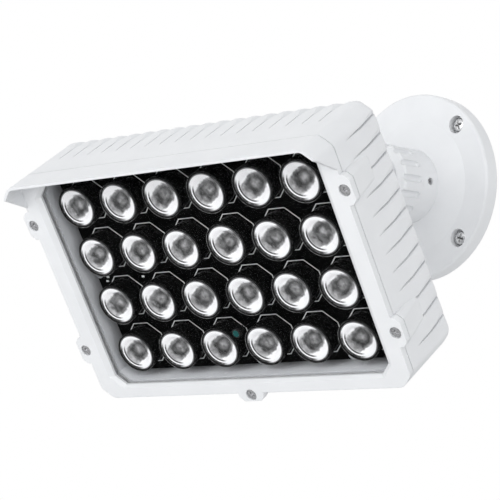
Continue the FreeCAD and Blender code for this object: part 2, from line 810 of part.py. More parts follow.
def gland_body():
    flats = hex_rod(GLAND_HEX_AF, -GLAND_HEX, 0)
    inner = rod(GLAND_THREAD_R, 0, GLAND_INNER_LENGTH)
    outer = rod(GLAND_THREAD_R, -GLAND_HEX - GLAND_OUTER_LENGTH, -GLAND_HEX)
    bore = rod(GLAND_BORE_R, -GLAND_HEX - GLAND_OUTER_LENGTH, GLAND_INNER_LENGTH)
    return at_gland(flats.multiFuse([inner, outer]).cut(bore).removeSplitter())


def gland_nut():
    """Domed nut over the outer thread, open at its nose for the cable."""
    top = -GLAND_HEX - SEAL_THICK
    low = top - GLAND_NUT_LENGTH
    shoulder = low + GLAND_NUT_R - GLAND_NUT_NOSE_R
    bore_r = GLAND_THREAD_R + THREAD_FIT
    bore_low = -GLAND_HEX - GLAND_OUTER_LENGTH
    one = turned([
        (bore_r, top), (GLAND_NUT_R, top), (GLAND_NUT_R, shoulder), (GLAND_NUT_NOSE_R, low),
        (GLAND_BORE_R, low), (GLAND_BORE_R, bore_low), (bore_r, bore_low),
    ])
    return at_gland(one)


def gland_seal():
    low = -GLAND_HEX - GLAND_OUTER_LENGTH
    sleeve = rod(GLAND_BORE_R - THREAD_FIT, low, low + GLAND_SEAL_LENGTH)
    return at_gland(sleeve.cut(rod(GLAND_SEAL_R, low, low + GLAND_SEAL_LENGTH)))


def gland_locknut():
    nut = hex_rod(LOCKNUT_AF, REAR_WALL, REAR_WALL + LOCKNUT_THICK)
    bore = rod(GLAND_THREAD_R + THREAD_FIT, REAR_WALL, REAR_WALL + LOCKNUT_THICK)
    return at_gland(nut.cut(bore))


# Ball arm
def ball_arm():
    collar_end = COLLAR_START + COLLAR_THICK
    stud_end = collar_end + NUT_SPACE + STUD_BITE
    stem = turned([
        (0, 0), (STEM_R, 0), (STEM_R, STEM_LENGTH), (SHANK_R, SHANK_START),
        (SHANK_R, COLLAR_START), (0, COLLAR_START),
    ])
    collar = hex_rod(COLLAR_AF, COLLAR_START, collar_end).common(rod(COLLAR_R, COLLAR_START, collar_end))
    stud = rod(STUD_R, collar_end, stud_end)
    ball = Part.makeSphere(BALL_R)
    return ball.multiFuse([stem, collar, stud]).removeSplitter()


def jam_nut():
    top = COLLAR_START + COLLAR_THICK + NUT_SPACE - NUT_SEAT_GAP
    nut = hex_rod(NUT_AF, top - NUT_THICK, top)
    return nut.cut(rod(STUD_R + STUD_FIT, top - NUT_THICK, top))


# Wall base, seat and ring
def seat_outer_r():
    return BALL_R + BALL_FIT + SEAT_WALL


def bolt_places():
    return [turned_point(BOLT_CIRCLE_R, 45 + 360 / BOLT_COUNT * i) for i in range(BOLT_COUNT)]


def wall_base():
    bore_r = seat_outer_r() + SEAT_FIT
    body = turned([
        (0, BACK_RELIEF), (BACK_RELIEF_R, BACK_RELIEF), (BACK_RELIEF_R, 0), (FLANGE_R, 0),
        *quarter_round(FLANGE_R, FLANGE_THICK, FLANGE_ROUND), (DISH_R, FLANGE_THICK),
        (NECK_R, NECK_FOOT), (NECK_R, NECK_END), (COLLAR_NECK_R, NECK_END),
        (COLLAR_NECK_R, COLLAR_NECK_END), (bore_r, COLLAR_NECK_END), (bore_r, SEAT_FLOOR),
        (0, SEAT_FLOOR),
    ])
    for x, y in bolt_places():
        body = body.cut(rod(BOLT_HOLE_R, 0, FLANGE_THICK, x, y))
        body = body.cut(rod(BOLT_SINK_R, FLANGE_THICK - BOLT_SINK, FLANGE_THICK, x, y))
    return body.cut(radial_rod(SET_SCREW_R + THREAD_FIT, 0, DISH_R))


def radial_rod(radius, r_in, r_out):
    """Round rod along X at the height of the set screw."""
    return Part.makeCylinder(radius, r_out - r_in, Vector(r_in, 0, SET_SCREW_OUT), Vector(1, 0, 0))


def set_screw():
    r_tip = seat_outer_r() + SET_SCREW_TIP_GAP
    r_end = NECK_R - SET_SCREW_SINK
    socket = hex_rod(SOCKET_AF, -SOCKET_DEPTH, 0)
    socket.rotate(Vector(0, 0, 0), Vector(0, 1, 0), 90)
    socket.translate(Vector(r_end, 0, SET_SCREW_OUT))
    return radial_rod(SET_SCREW_R, r_tip, r_end).cut(socket)


def ball_seat():
    """Plastic cup that holds the back half of the ball."""
    outer = rod(seat_outer_r(), SEAT_FLOOR, BALL_OUT + SEAT_ABOVE)
    ball = Part.makeSphere(BALL_R + BALL_FIT, Vector(0, 0, BALL_OUT))
    return outer.cut(ball).cut(rod(SEAT_HOLE_R, SEAT_FLOOR, BALL_OUT))


def locking_ring():
    """Threaded ring that closes over the front of the ball; its mouth lets the stem swing."""
    thread_r = COLLAR_NECK_R + RING_THREAD_GAP
    low = NECK_END + RING_GAP
    crown = COLLAR_NECK_END + RING_CROWN_GAP
    ball_room = BALL_R + BALL_FIT
    lip_r = math.sqrt(ball_room ** 2 - RING_LIP ** 2)
    lip = BALL_OUT + RING_LIP
    ring = turned([
        (0, low), (RING_R, low), (RING_R, RING_BEVEL_START), (RING_FACE_R, RING_END), (0, RING_END),
    ])
    ring = ring.cut(rod(thread_r, low, crown))
    ring = ring.cut(Part.makeSphere(ball_room, Vector(0, 0, BALL_OUT)))
    ring = ring.cut(Part.makeCone(lip_r, RING_MOUTH_R, RING_END - lip, Vector(0, 0, lip)))
    flute_start = low + RING_FLUTE_LAND + RING_FLUTE_R
    for i in range(RING_LOBES):
        x, y = turned_point(RING_R, 360 / RING_LOBES * i)
        ring = ring.cut(Part.makeSphere(RING_FLUTE_R, Vector(x, y, flute_start)))
        ring = ring.cut(rod(RING_FLUTE_R, flute_start, RING_END, x, y))
    return ring


# Assembly
BASE_PIECES = {
    "wall_base": wall_base,
    "set_screw": set_screw,
    "ball_seat": ball_seat,
    "locking_ring": locking_ring,
}
ARM_PIECES = {
    "ball_arm": ball_arm,
    "jam_nut": jam_nut,
}
HEAD_PIECES = {
    "front_frame": front_frame,
    "frame_screws": frame_screws,
    "window_glass": window_glass,
    "window_gasket": window_gasket,
    "housing_gasket": housing_gasket,
    "cavity_liner": cavity_liner,
    "rear_housing": rear_housing,
    "led_board": led_board,
    "board_screws": board_screws,
    "led_emitters": led_emitters,
    "lens_holders": lens_holders,
    "lens_optics": lens_optics,
    "light_sensor": light_sensor,
    "driver_board": driver_board,
    "driver_screws": driver_screws,
    "transformer_core": transformer_core,
    "transformer_coil": transformer_coil,
    "driver_capacitors": driver_capacitors,
    "power_header": power_header,
    "gland_body": gland_body,
    "gland_nut": gland_nut,
    "gland_seal": gland_seal,
    "gland_locknut": gland_locknut,
}


def poses():
    """Placements of the base, the arm and the head in the part's frame."""
    upright = FreeCAD.Rotation(0, 0, 90)
    aim = FreeCAD.Rotation(PAN_ANGLE, 0, 90 + DOWN_ANGLE)
    ball = Vector(0, -BALL_OUT, 0)
    ball_in_head = Vector(0, -ARM_DROP, BALL_Z)
    base = FreeCAD.Placement(Vector(0, 0, 0), upright)
    arm = FreeCAD.Placement(ball, aim)
    head = FreeCAD.Placement(ball - aim.multVec(ball_in_head), aim)
    return base, arm, head


def write_pieces(pieces, pose):
    for name, build in pieces.items():
        shape = build()
        shape.Placement = pose.multiply(shape.Placement)
        shape.exportStep(os.path.join("parts", name + ".step"))


os.makedirs("parts", exist_ok=True)
base_pose, arm_pose, head_pose = poses()
write_pieces(BASE_PIECES, base_pose)
write_pieces(ARM_PIECES, arm_pose)
write_pieces(HEAD_PIECES, head_pose)
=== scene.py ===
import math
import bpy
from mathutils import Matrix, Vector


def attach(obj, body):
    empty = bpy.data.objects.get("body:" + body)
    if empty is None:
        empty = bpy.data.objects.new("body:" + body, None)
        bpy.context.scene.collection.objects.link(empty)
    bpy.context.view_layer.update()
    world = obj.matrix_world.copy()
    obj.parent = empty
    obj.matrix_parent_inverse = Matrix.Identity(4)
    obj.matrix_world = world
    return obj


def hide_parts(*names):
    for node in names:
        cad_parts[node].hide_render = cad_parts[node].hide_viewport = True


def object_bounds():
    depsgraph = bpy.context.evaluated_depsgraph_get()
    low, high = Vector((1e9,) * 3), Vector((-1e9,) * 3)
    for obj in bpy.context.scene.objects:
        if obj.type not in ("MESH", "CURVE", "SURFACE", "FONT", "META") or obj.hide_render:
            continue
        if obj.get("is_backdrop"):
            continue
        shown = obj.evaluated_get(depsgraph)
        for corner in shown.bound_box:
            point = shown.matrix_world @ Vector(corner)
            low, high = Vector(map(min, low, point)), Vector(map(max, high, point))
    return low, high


bl_info = {
    "name": "Infrared illuminator finish",
    "version": (1, 0, 0),
    "blender": (4, 5, 0),
    "location": "3D View > Sidebar > Illuminator",
    "description": "Dresses the illuminator's castings, window, lights and mount, and sets its studio",
    "category": "Object",
}

import bpy
import bmesh
from mathutils import Euler, Matrix, Vector

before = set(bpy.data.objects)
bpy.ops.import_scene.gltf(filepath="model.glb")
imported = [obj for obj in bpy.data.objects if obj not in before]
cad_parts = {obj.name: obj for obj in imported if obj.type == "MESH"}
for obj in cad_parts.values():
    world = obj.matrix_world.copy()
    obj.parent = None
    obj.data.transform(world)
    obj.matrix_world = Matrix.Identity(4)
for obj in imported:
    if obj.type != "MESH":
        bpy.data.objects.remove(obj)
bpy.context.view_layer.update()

# One millimetre, in metres
MM = 0.001

# The head hangs on the ball: it is turned to one side, and looks down from level
HEAD_PAN = math.radians(7.9)
HEAD_DOWN = math.radians(32.95)
HEAD_TIP = math.radians(90.0) + HEAD_DOWN
BALL = Vector((0.0, -30.0 * MM, 0.0))
BALL_TO_LENSES = Vector((0.0, 30.0 * MM, 160.1 * MM))

# The head's own axes in the part's frame: across its face, up its face, out of its window
HEAD_PLACE = (
    Matrix.Translation(BALL)
    @ Matrix.Rotation(HEAD_PAN, 4, "Z")
    @ Matrix.Rotation(HEAD_TIP, 4, "X")
    @ Matrix.Translation(BALL_TO_LENSES)
)
HEAD_ACROSS, HEAD_UP, HEAD_OUT, HEAD_MIDDLE = (tuple(HEAD_PLACE.col[i][:3]) for i in range(4))

# The wall base's own axes: its axis points out of the wall
BASE_PLACE = Matrix.Rotation(math.radians(90.0), 4, "X")

# Middles of the small marks on the light board, across and up the head
PRINT_MARKS = ((-77.7 * MM, -2.7 * MM), (-79.0 * MM, -4.9 * MM), (-54.6 * MM, -4.0 * MM))

# The first wall screw stands at this angle, and each of the four slots has its own turn
FIRST_SCREW = math.radians(45.0)
SLOT_TURNS = [math.radians(turn) for turn in (12.0, 51.0, 33.0, 74.0)]

# Each lamp's name and setting, its place and its width, in metres
LAMPS = (
    ("front", (-0.15, -1.8, 0.0), 1.4),
    ("near", (1.5, -1.2, -0.1), 1.4),
    ("rear", (-1.2, 1.3, 0.7), 1.0),
)
LAMP_AIM = (0.02, -0.14, -0.04)

# Place of the camera in metres, and its turn
CAMERA_PLACE = (0.675383, -0.789206, -0.159608)
CAMERA_TURN = Euler((math.radians(96.9115713), math.radians(0.0393536), math.radians(45.8959872)))

# Width of the camera's sensor in millimetres, and how far it sees in metres
SENSOR_WIDTH = 36.0
CAMERA_REACH = 50.0


# Kinds of setting
def length(name, description, value, low=0.0):
    """Length property given in millimetres."""
    return bpy.props.FloatProperty(
        name=name, description=description, default=value * MM, min=low, precision=5,
        unit="LENGTH", subtype="DISTANCE",
    )


def offset(name, description, value):
    """Length property that may lie on either side."""
    return length(name, description, value, low=-1.0)


def share(name, description, value, high=1.0):
    return bpy.props.FloatProperty(
        name=name, description=description, default=value, min=0.0, max=high, subtype="FACTOR",
    )


def power(name, description, value):
    return bpy.props.FloatProperty(name=name, description=description, default=value, min=0.0, unit="POWER")


def colour(name, description, value):
    return bpy.props.FloatVectorProperty(
        name=name, description=description, default=value, min=0.0, max=1.0, size=3, subtype="COLOR",
    )


class CoatFinish(bpy.types.PropertyGroup):
    """White powder coat on the castings"""

    tint: colour("Coat", "Colour of the powder coat", (0.825, 0.835, 0.85))
    shade: colour("Thin coat", "Colour where the coat lies thinner", (0.800, 0.810, 0.826))
    roughness: share("Roughness", "Roughness of the satin coat", 0.42)
    peel: length("Peel", "Width of the ripples in the coat", 1.3)
    peel_depth: length("Peel depth", "Depth of the ripples in the coat", 0.025)
    edge_round: length("Edge round", "Radius of the cast edges under the coat", 0.45)


class SteelFinish(bpy.types.PropertyGroup):
    """Plated steel of the screws"""

    grey_dark: colour("Grey, dark", "Darker tone of the frame and set screws", (0.26, 0.26, 0.27))
    grey_light: colour("Grey, light", "Lighter tone of the frame and set screws", (0.68, 0.68, 0.69))
    zinc_dark: colour("Zinc, dark", "Darker tone of the board screws", (0.52, 0.53, 0.54))
    zinc_light: colour("Zinc, light", "Lighter tone of the board screws", (0.74, 0.75, 0.76))
    wall_dark: colour("Wall screws, dark", "Darker tone of the wall screws", (0.46, 0.46, 0.47))
    wall_light: colour("Wall screws, light", "Lighter tone of the wall screws", (0.72, 0.73, 0.74))
    # Painted shade: dark tones for the cross slots and the rims of the wall screws' heads
    slot_dark: colour("Slots, dark", "Darker tone inside the cross slots", (0.09, 0.09, 0.09))
    slot_light: colour("Slots, light", "Lighter tone inside the cross slots", (0.18, 0.18, 0.18))
    roughness: share("Roughness", "Roughness of the plating", 0.26)
    slot_roughness: share("Slot roughness", "Roughness inside the cross slots", 0.4)


class PlasticFinish(bpy.types.PropertyGroup):
    """Nylon of the ball's seat and the cable gland"""

    seat_dark: colour("Seat, dark", "Darker tone of the ball's seat", (0.74, 0.74, 0.71))
    seat_light: colour("Seat, light", "Lighter tone of the ball's seat", (0.82, 0.82, 0.80))
    gland_dark: colour("Gland, dark", "Darker tone of the cable gland", (0.62, 0.63, 0.64))
    gland_light: colour("Gland, light", "Lighter tone of the cable gland", (0.72, 0.73, 0.74))


class WindowFinish(bpy.types.PropertyGroup):
    """Window glass, seals and the grey wall round the lights"""

    haze: share("Haze", "How much of the glass surface is seen", 0.008)
    dust_dark: colour("Dust, dark", "Darker tone of the film on the glass", (0.10, 0.11, 0.11))
    dust_light: colour("Dust, light", "Lighter tone of the film on the glass", (0.16, 0.17, 0.17))
    liner: colour("Wall", "Colour of the glossy wall round the lights", (0.96, 0.98, 1.0))
    # The wall round the lights carries painted shade, darkest at its foot and palest at its top
    wall_foot: offset("Wall foot", "Height where the wall is darkest, counted from the lens fronts", -11.0)
    wall_top: offset("Wall top", "Height where the wall is palest, counted from the lens fronts", -4.0)
    seal: colour("Seal", "Colour of the dark window seal", (0.26, 0.26, 0.27))
    seam: colour("Seam", "Colour of the grey seal behind the frame", (0.20, 0.21, 0.22))
    gland_seal: colour("Gland seal", "Colour of the seal in the cable gland", (0.03, 0.03, 0.032))


class LensShape(bpy.types.PropertyGroup):
    """Moulded lenses over the lights"""

    pitch: length("Pitch", "Distance from light to light", 27.5)
    columns: bpy.props.IntProperty(name="Columns", description="Lights across the face", default=6, min=1)
    rows: bpy.props.IntProperty(name="Rows", description="Lights up the face", default=4, min=1)
    radius: length("Radius", "Outer radius of a lens", 10.0)
    flange: length("Flange", "Thickness of the lens at its rim", 1.6)
    land: length("Land", "Width and depth of the step near the rim", 0.15)
    bowl_rim: length("Bowl rim", "Radius where the bowl meets the flat front ring", 8.6)
    bowl_depth: length("Bowl depth", "Depth of the bowl round the eye", 1.3)
    eye_radius: length("Eye radius", "Radius of the domed eye in the middle", 5.9)
    eye_rise: length("Eye rise", "Height of the eye over the bowl's foot", 0.5)
    neck: length("Neck", "Radius of the cone under the flange", 8.6)
    foot: length("Foot", "Radius of the cone's foot over the light", 4.6)
    depth: length("Depth", "Whole height of a lens", 9.4)
    cup_wall: length("Cup wall", "Thickness of the cup's rim round the lens", 1.0)
    cone_dark: colour("Cone, dark", "Darker tone of the clear cone under the front", (0.10, 0.10, 0.11))
    cone_light: colour("Cone, light", "Lighter tone of the clear cone under the front", (0.20, 0.20, 0.21))
    # The painted reflections on the lens fronts lie in this direction, with the painted eye between them; the
    # far side, with the painted rings and the cups' painted rim highlight, lies square to it
    painted_light_angle: bpy.props.FloatProperty(
        name="Lit angle", description="Direction in which the white sides lie",
        default=math.radians(122.0), unit="ROTATION",
    )
    eye_long: share("Eye long", "Half length of the clouded eye across the white sides, in lens widths", 0.54)
    eye_short: share(
        "Eye short", "Half length of the clouded eye towards the white sides, in lens widths", 0.262,
    )
    eye_shift: share("Eye shift", "How far the eye lies towards the near side, in lens widths", 0.03)
    spot_shift: share("Spot shift", "How far the pale spot lies towards the near side, in lens widths", 0.13)


class BoardFinish(bpy.types.PropertyGroup):
    """Light board, its lights and its photocell"""

    mask_dark: colour("Mask, dark", "Darker tone of the black solder mask", (0.0006, 0.0006, 0.0007))
    mask_light: colour("Mask, light", "Lighter tone of the black solder mask", (0.0035, 0.0035, 0.0038))
    light_dark: colour("Lights, dark", "Darker tone of the lights' packages", (0.60, 0.58, 0.48))
    light_light: colour("Lights, light", "Lighter tone of the lights' packages", (0.80, 0.79, 0.72))
    cell_dark: colour("Cell, dark", "Darker tone of the photocell's lacquer", (0.003, 0.04, 0.04))
    cell_light: colour("Cell, light", "Lighter tone of the photocell's lacquer", (0.012, 0.115, 0.11))
    cell_across: offset("Cell across", "Place of the photocell across the head", -1.6)
    cell_up: offset("Cell up", "Place of the photocell up the head", -34.4)
    cell_face: length("Cell face", "Radius of the photocell's lacquered face", 1.75)
    cell_low: offset("Cell low", "Height of the lacquered face's foot, counted from the lens fronts", -1.7)


class BoardPrint(bpy.types.PropertyGroup):
    """White print on the black light board"""

    half_width: length("Half width", "Half width of the outline round each cup", 11.3)
    line: length("Line", "Width of the printed line", 0.50)
    mark: length("Mark", "Half width of a small printed mark", 0.9)
    ink: length("Ink", "Thickness of the ink", 0.03)
    depth: length("Board depth", "Depth of the board behind the lens fronts", 11.0)
    tint: colour("Ink colour", "Colour of the print", (0.82, 0.84, 0.84))


class WallScrewShape(bpy.types.PropertyGroup):
    """Cross-slot screws in the wall flange"""

    circle: length("Circle", "Radius of the screw circle", 44.0)
    seat: length("Seat", "Height of the sunk floor over the wall", 4.4)
    head_radius: length("Head radius", "Radius of the screw head", 3.9)
    head_height: length("Head height", "Height of the screw head", 2.5)
    shank: length("Shank", "Radius of the screw's shank", 2.0)
    slot_length: length("Slot length", "Half length of the cross slot", 2.3)
    slot_width: length("Slot width", "Half width of the cross slot", 0.46)
    slot_depth: length("Slot depth", "Depth of the cross slot", 1.6)


class DriverFinish(bpy.types.PropertyGroup):
    """Driver board and what stands on it"""

    mask_dark: colour("Mask, dark", "Darker tone of the green solder mask", (0.02, 0.16, 0.07))
    mask_light: colour("Mask, light", "Lighter tone of the green solder mask", (0.05, 0.28, 0.13))
    tape_dark: colour("Tape, dark", "Darker tone of the coil's tape", (0.62, 0.42, 0.08))
    tape_light: colour("Tape, light", "Lighter tone of the coil's tape", (0.80, 0.60, 0.16))
    ferrite_dark: colour("Ferrite, dark", "Darker tone of the transformer's core", (0.045, 0.045, 0.045))
    ferrite_light: colour("Ferrite, light", "Lighter tone of the transformer's core", (0.09, 0.09, 0.09))
    sleeve_dark: colour("Sleeve, dark", "Darker tone of the capacitors", (0.03, 0.04, 0.12))
    sleeve_light: colour("Sleeve, light", "Lighter tone of the capacitors", (0.06, 0.08, 0.18))
    header_dark: colour("Header, dark", "Darker tone of the pin header", (0.02, 0.02, 0.02))
    header_light: colour("Header, light", "Lighter tone of the pin header", (0.045, 0.045, 0.045))


class StudioSetting(bpy.types.PropertyGroup):
    """Floor, lamps and camera"""

    surround: share("Surround", "Level of the light that comes from all round", 0.80, 2.0)
    glow: share("Glow", "How much brighter it is below than at eye level", 0.20, 1.0)
    front: power("Front", "Power of the lamp before the window", 12.0)
    near: power("Near", "Power of the lamp on the camera's side", 10.5)
    rear: power("Rear", "Power of the lamp behind the head", 2.5)
    floor_drop: length("Floor drop", "Distance of the floor below the lamp", 160.0)
    floor_radius: length("Floor radius", "Radius of the round floor", 1700.0)
    floor_tint: colour("Floor", "Colour of the floor", (0.87, 0.87, 0.87))
    focal: bpy.props.FloatProperty(
        name="Focal length", description="Focal length in millimetres", default=135.126, min=1.0,
    )


GROUPS = (
    ("illuminator_coat", CoatFinish),
    ("illuminator_steel", SteelFinish),
    ("illuminator_plastic", PlasticFinish),
    ("illuminator_window", WindowFinish),
    ("illuminator_lens", LensShape),
    ("illuminator_board", BoardFinish),
    ("illuminator_print", BoardPrint),
    ("illuminator_screw", WallScrewShape),
    ("illuminator_driver", DriverFinish),
    ("illuminator_studio", StudioSetting),
)


# Material making
def add_node(tree, kind, sockets=None, **settings):
    """New shading node. Its settings are made first, then each socket gets a value or a wire."""
    node = tree.nodes.new(kind)
    for name, value in settings.items():
        setattr(node, name, value)
    for name, value in (sockets or {}).items():
        if isinstance(value, bpy.types.NodeSocket):
            tree.links.new(value, node.inputs[name])
        else:
            node.inputs[name].default_value = value
    return node


def fresh_material(name, roughness, metallic=0.0):
    """New material with one shader; returns the material, its tree and the shader."""
    material = bpy.data.materials.new(name)
    material.use_nodes = True
    tree = material.node_tree
    tree.nodes.clear()
    shader = add_node(tree, "ShaderNodeBsdfPrincipled", {"Roughness": roughness, "Metallic": metallic})
    add_node(tree, "ShaderNodeOutputMaterial", {"Surface": shader.outputs["BSDF"]})
    return material, tree, shader


def own_place(tree, stretch=(1.0, 1.0, 1.0), turn=(0.0, 0.0, 0.0)):
    """The piece's own coordinates, stretched and turned."""
    place = add_node(tree, "ShaderNodeTexCoord")
    sockets = {"Vector": place.outputs["Object"], "Scale": stretch, "Rotation": turn}
    return add_node(tree, "ShaderNodeMapping", sockets).outputs["Vector"]


def noise(tree, patch, detail=2.0, stretch=(1.0, 1.0, 1.0)):
    """Noise whose patches are about patch metres wide."""
    sockets = {"Vector": own_place(tree, stretch), "Scale": 1.0 / patch, "Detail": detail}
    return add_node(tree, "ShaderNodeTexNoise", sockets).outputs["Fac"]


def number_step(tree, operation, first, second=None):
    """One calculation; the second value may be a socket or a plain number."""
    sockets = {0: first} if second is None else {0: first, 1: second}
    return add_node(tree, "ShaderNodeMath", sockets, operation=operation).outputs["Value"]


def product(tree, first, *factors):
    for factor in factors:
        first = number_step(tree, "MULTIPLY", first, factor)
    return first


def vector_step(tree, operation, first, second=None):
    """One vector calculation; the second value may be a socket or a plain triple."""
    sockets = {0: first} if second is None else {0: first, 1: second}
    node = add_node(tree, "ShaderNodeVectorMath", sockets, operation=operation)
    return node.outputs["Value" if operation in ("LENGTH", "DOT_PRODUCT") else "Vector"]


def along(tree, spot, axis):
    """How far a spot lies along an axis."""
    return vector_step(tree, "DOT_PRODUCT", spot, axis)


def from_head_middle(tree):
    """The piece's own coordinates, counted from the middle of the lens fronts."""
    return vector_step(tree, "SUBTRACT", own_place(tree), HEAD_MIDDLE)


def flat_vector(tree, x, y):
    return add_node(tree, "ShaderNodeCombineXYZ", {"X": x, "Y": y}).outputs["Vector"]


def level_run(tree, value, start, end, low=0.0, high=1.0, kind="LINEAR"):
    """Run from low to high while a value goes from start to end."""
    sockets = {"Value": value, "From Min": start, "From Max": end, "To Min": low, "To Max": high}
    return add_node(tree, "ShaderNodeMapRange", sockets, interpolation_type=kind).outputs["Result"]


def soft_step(tree, value, start, end, low=0.0, high=1.0):
    """Run from low to high that starts and ends softly."""
    return level_run(tree, value, start, end, low, high, "SMOOTHSTEP")


def colour_run(tree, factor, stops):
    """Colours over a factor, from (position, colour) stops."""
    node = add_node(tree, "ShaderNodeValToRGB", {"Fac": factor})
    elements = node.color_ramp.elements
    while len(elements) < len(stops):
        elements.new(0.5)
    for element, (position, tint) in zip(elements, stops):
        element.position = position
        element.color = (*tint, 1.0)
    return node.outputs["Color"]


def grey_run(tree, factor, stops):
    """Greys with a trace of blue over a factor, from (position, level) stops."""
    blue = 1.01
    return colour_run(tree, factor, [(position, (level, level, blue * level)) for position, level in stops])


def grey_cloud(tree, patch, detail, stops):
    """Cloud of greys whose patches are about patch metres wide."""
    return grey_run(tree, noise(tree, patch, detail), stops)


def mixed(tree, kind, factor, first, second):
    """Two colours blended or multiplied; the factor may be a socket or a plain number."""
    sockets = {"Factor": factor, "A": first, "B": second}
    return add_node(tree, "ShaderNodeMix", sockets, data_type="RGBA", blend_type=kind).outputs["Result"]


def toned(tint, level):
    """A colour made darker or lighter, still inside the range of a colour."""
    return tuple(min(1.0, level * part) for part in tint)


def colour_by(tree, shader, factor, low, high, start=0.35, end=0.65):
    """Base colour that runs from low to high as the factor goes from start to end."""
    run = colour_run(tree, factor, [(start, low), (end, high)])
    tree.links.new(run, shader.inputs["Base Color"])


def roughness_by(tree, shader, factor, low, high):
    """Roughness that runs from low to high over the middle part of a noise."""
    tree.links.new(level_run(tree, factor, 0.3, 0.7, low, high), shader.inputs["Roughness"])


def relief(tree, shader, height, depth, edge_round=0.0):
    """Bump of a real depth in metres, over rounded edges where the piece has them."""
    bump = add_node(tree, "ShaderNodeBump", {"Strength": 1.0, "Distance": depth, "Height": height})
    if edge_round:
        edges = add_node(tree, "ShaderNodeBevel", {"Radius": edge_round}, samples=4)
        tree.links.new(edges.outputs["Normal"], bump.inputs["Normal"])
    tree.links.new(bump.outputs["Normal"], shader.inputs["Normal"])


def dress(node, material):
    """Gives a piece of the frame a new finish."""
    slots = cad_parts[node].data.materials
    if not slots:
        slots.append(material)
    for i in range(len(slots)):
        slots[i] = material


# Mesh making
def turn_of(i, count):
    """Angle of one of so many places round a circle."""
    return 2.0 * math.pi * i / count


def circle_points(radius, z, count):
    """Places round a circle about the Z axis."""
    turns = [turn_of(i, count) for i in range(count)]
    return [Vector((radius * math.cos(turn), radius * math.sin(turn), z)) for turn in turns]


def ring_of_corners(mesh, place, spots):
    return [mesh.verts.new(place @ spot) for spot in spots]


def bridge(mesh, inner, outer):
    """Faces between two rings of corners, in order; a ring may also be a single corner."""
    count = max(len(inner), len(outer))
    faces = []
    for i in range(count):
        j = (i + 1) % count
        corners = (inner[i % len(inner)], outer[i % len(outer)], outer[j % len(outer)], inner[j % len(inner)])
        faces.append(mesh.faces.new(list(dict.fromkeys(corners))))
    return faces


def lathe(mesh, profile, segments, place, paint):
    """Adds a turned form to an open bmesh. The profile is a list of (radius, z) that starts and ends
    on the axis, and paint gives each band's material number. UVs hold the place seen from above."""
    uv = mesh.loops.layers.uv.verify()
    widest = max(radius for radius, _ in profile)
    back = place.inverted()
    rings = []
    for radius, z in profile:
        spots = circle_points(radius, z, segments) if radius > 0.0 else [Vector((0.0, 0.0, z))]
        rings.append(ring_of_corners(mesh, place, spots))
    for band, (inner, outer) in enumerate(zip(rings, rings[1:])):
        for face in bridge(mesh, inner, outer):
            face.smooth = True
            face.material_index = paint[band]
            for loop in face.loops:
                spot = back @ loop.vert.co
                loop[uv].uv = (0.5 + 0.5 * spot.x / widest, 0.5 + 0.5 * spot.y / widest)


def finished_object(name, mesh, materials):
    bmesh.ops.recalc_face_normals(mesh, faces=mesh.faces)
    data = bpy.data.meshes.new(name)
    mesh.to_mesh(data)
    mesh.free()
    for material in materials:
        data.materials.append(material)
    piece = bpy.data.objects.new(name, data)
    bpy.context.scene.collection.objects.link(piece)
    return piece


def light_places(lens):
    """Centres of the lights on the head's face."""
    spots = []
    for row in range(lens.rows):
        for column in range(lens.columns):
            x = (column - (lens.columns - 1) / 2) * lens.pitch
            y = (row - (lens.rows - 1) / 2) * lens.pitch
            spots.append((x, y))
    return spots


# Castings and fasteners
def coat_material(coat):
    """White satin powder coat with a faint cloud and a fine peel."""
    material, tree, shader = fresh_material("white_powder_coat", coat.roughness)
    colour_by(tree, shader, noise(tree, 18.0 * MM, 3.0), coat.shade, coat.tint)
    roughness_by(tree, shader, noise(tree, 6.0 * MM, 3.0), coat.roughness - 0.05, coat.roughness + 0.06)
    relief(tree, shader, noise(tree, coat.peel, 1.5), coat.peel_depth, coat.edge_round)
    shader.inputs["Specular IOR Level"].default_value = 0.45
    return material


def steel_material(name, low, high, roughness):
    """Plated steel with fine turning marks."""
    material, tree, shader = fresh_material(name, roughness, 1.0)
    marks = noise(tree, 0.9 * MM, 4.0, (1.0, 1.0, 6.0))
    colour_by(tree, shader, marks, low, high)
    roughness_by(tree, shader, noise(tree, 2.0 * MM), roughness - 0.08, roughness + 0.1)
    relief(tree, shader, marks, 0.01 * MM, edge_round=0.15 * MM)
    return material


def moulded_material(name, low, high, roughness):
    """Moulded plastic with a faint cloud in it."""
    material, tree, shader = fresh_material(name, roughness)
    colour_by(tree, shader, noise(tree, 4.0 * MM, 3.0), low, high)
    roughness_by(tree, shader, noise(tree, 1.5 * MM, 3.0), roughness - 0.08, roughness + 0.08)
    relief(tree, shader, noise(tree, 0.8 * MM, 2.0), 0.01 * MM, edge_round=0.3 * MM)
    shader.inputs["Subsurface Weight"].default_value = 0.05
    shader.inputs["Subsurface Radius"].default_value = (2.0 * MM, 2.0 * MM, 2.0 * MM)
    return material


class ILLUMINATOR_OT_castings(bpy.types.Operator):
    """Coat the castings of the head, the arm and the wall base"""

    bl_idname = "illuminator.castings"
    bl_label = "Castings"

    def execute(self, context):
        coat = coat_material(context.scene.illuminator_coat)
        for node in ("front_frame", "rear_housing", "wall_base", "locking_ring", "ball_arm", "jam_nut"):
            dress(node, coat)
        return {"FINISHED"}


class ILLUMINATOR_OT_fasteners(bpy.types.Operator):
    """Plate the screws, and finish the ball's nylon seat"""

    bl_idname = "illuminator.fasteners"
    bl_label = "Fasteners"

    def execute(self, context):
        steel = context.scene.illuminator_steel
        plastic = context.scene.illuminator_plastic
        grey = steel_material("grey_plated_steel", steel.grey_dark, steel.grey_light, steel.roughness)
        bright = steel_material("bright_zinc_steel", steel.zinc_dark, steel.zinc_light, steel.roughness)
        for node in ("frame_screws", "set_screw"):
            dress(node, grey)
        for node in ("board_screws", "driver_screws"):
            dress(node, bright)
        dress("ball_seat", moulded_material("natural_nylon", plastic.seat_dark, plastic.seat_light, 0.4))
        return {"FINISHED"}


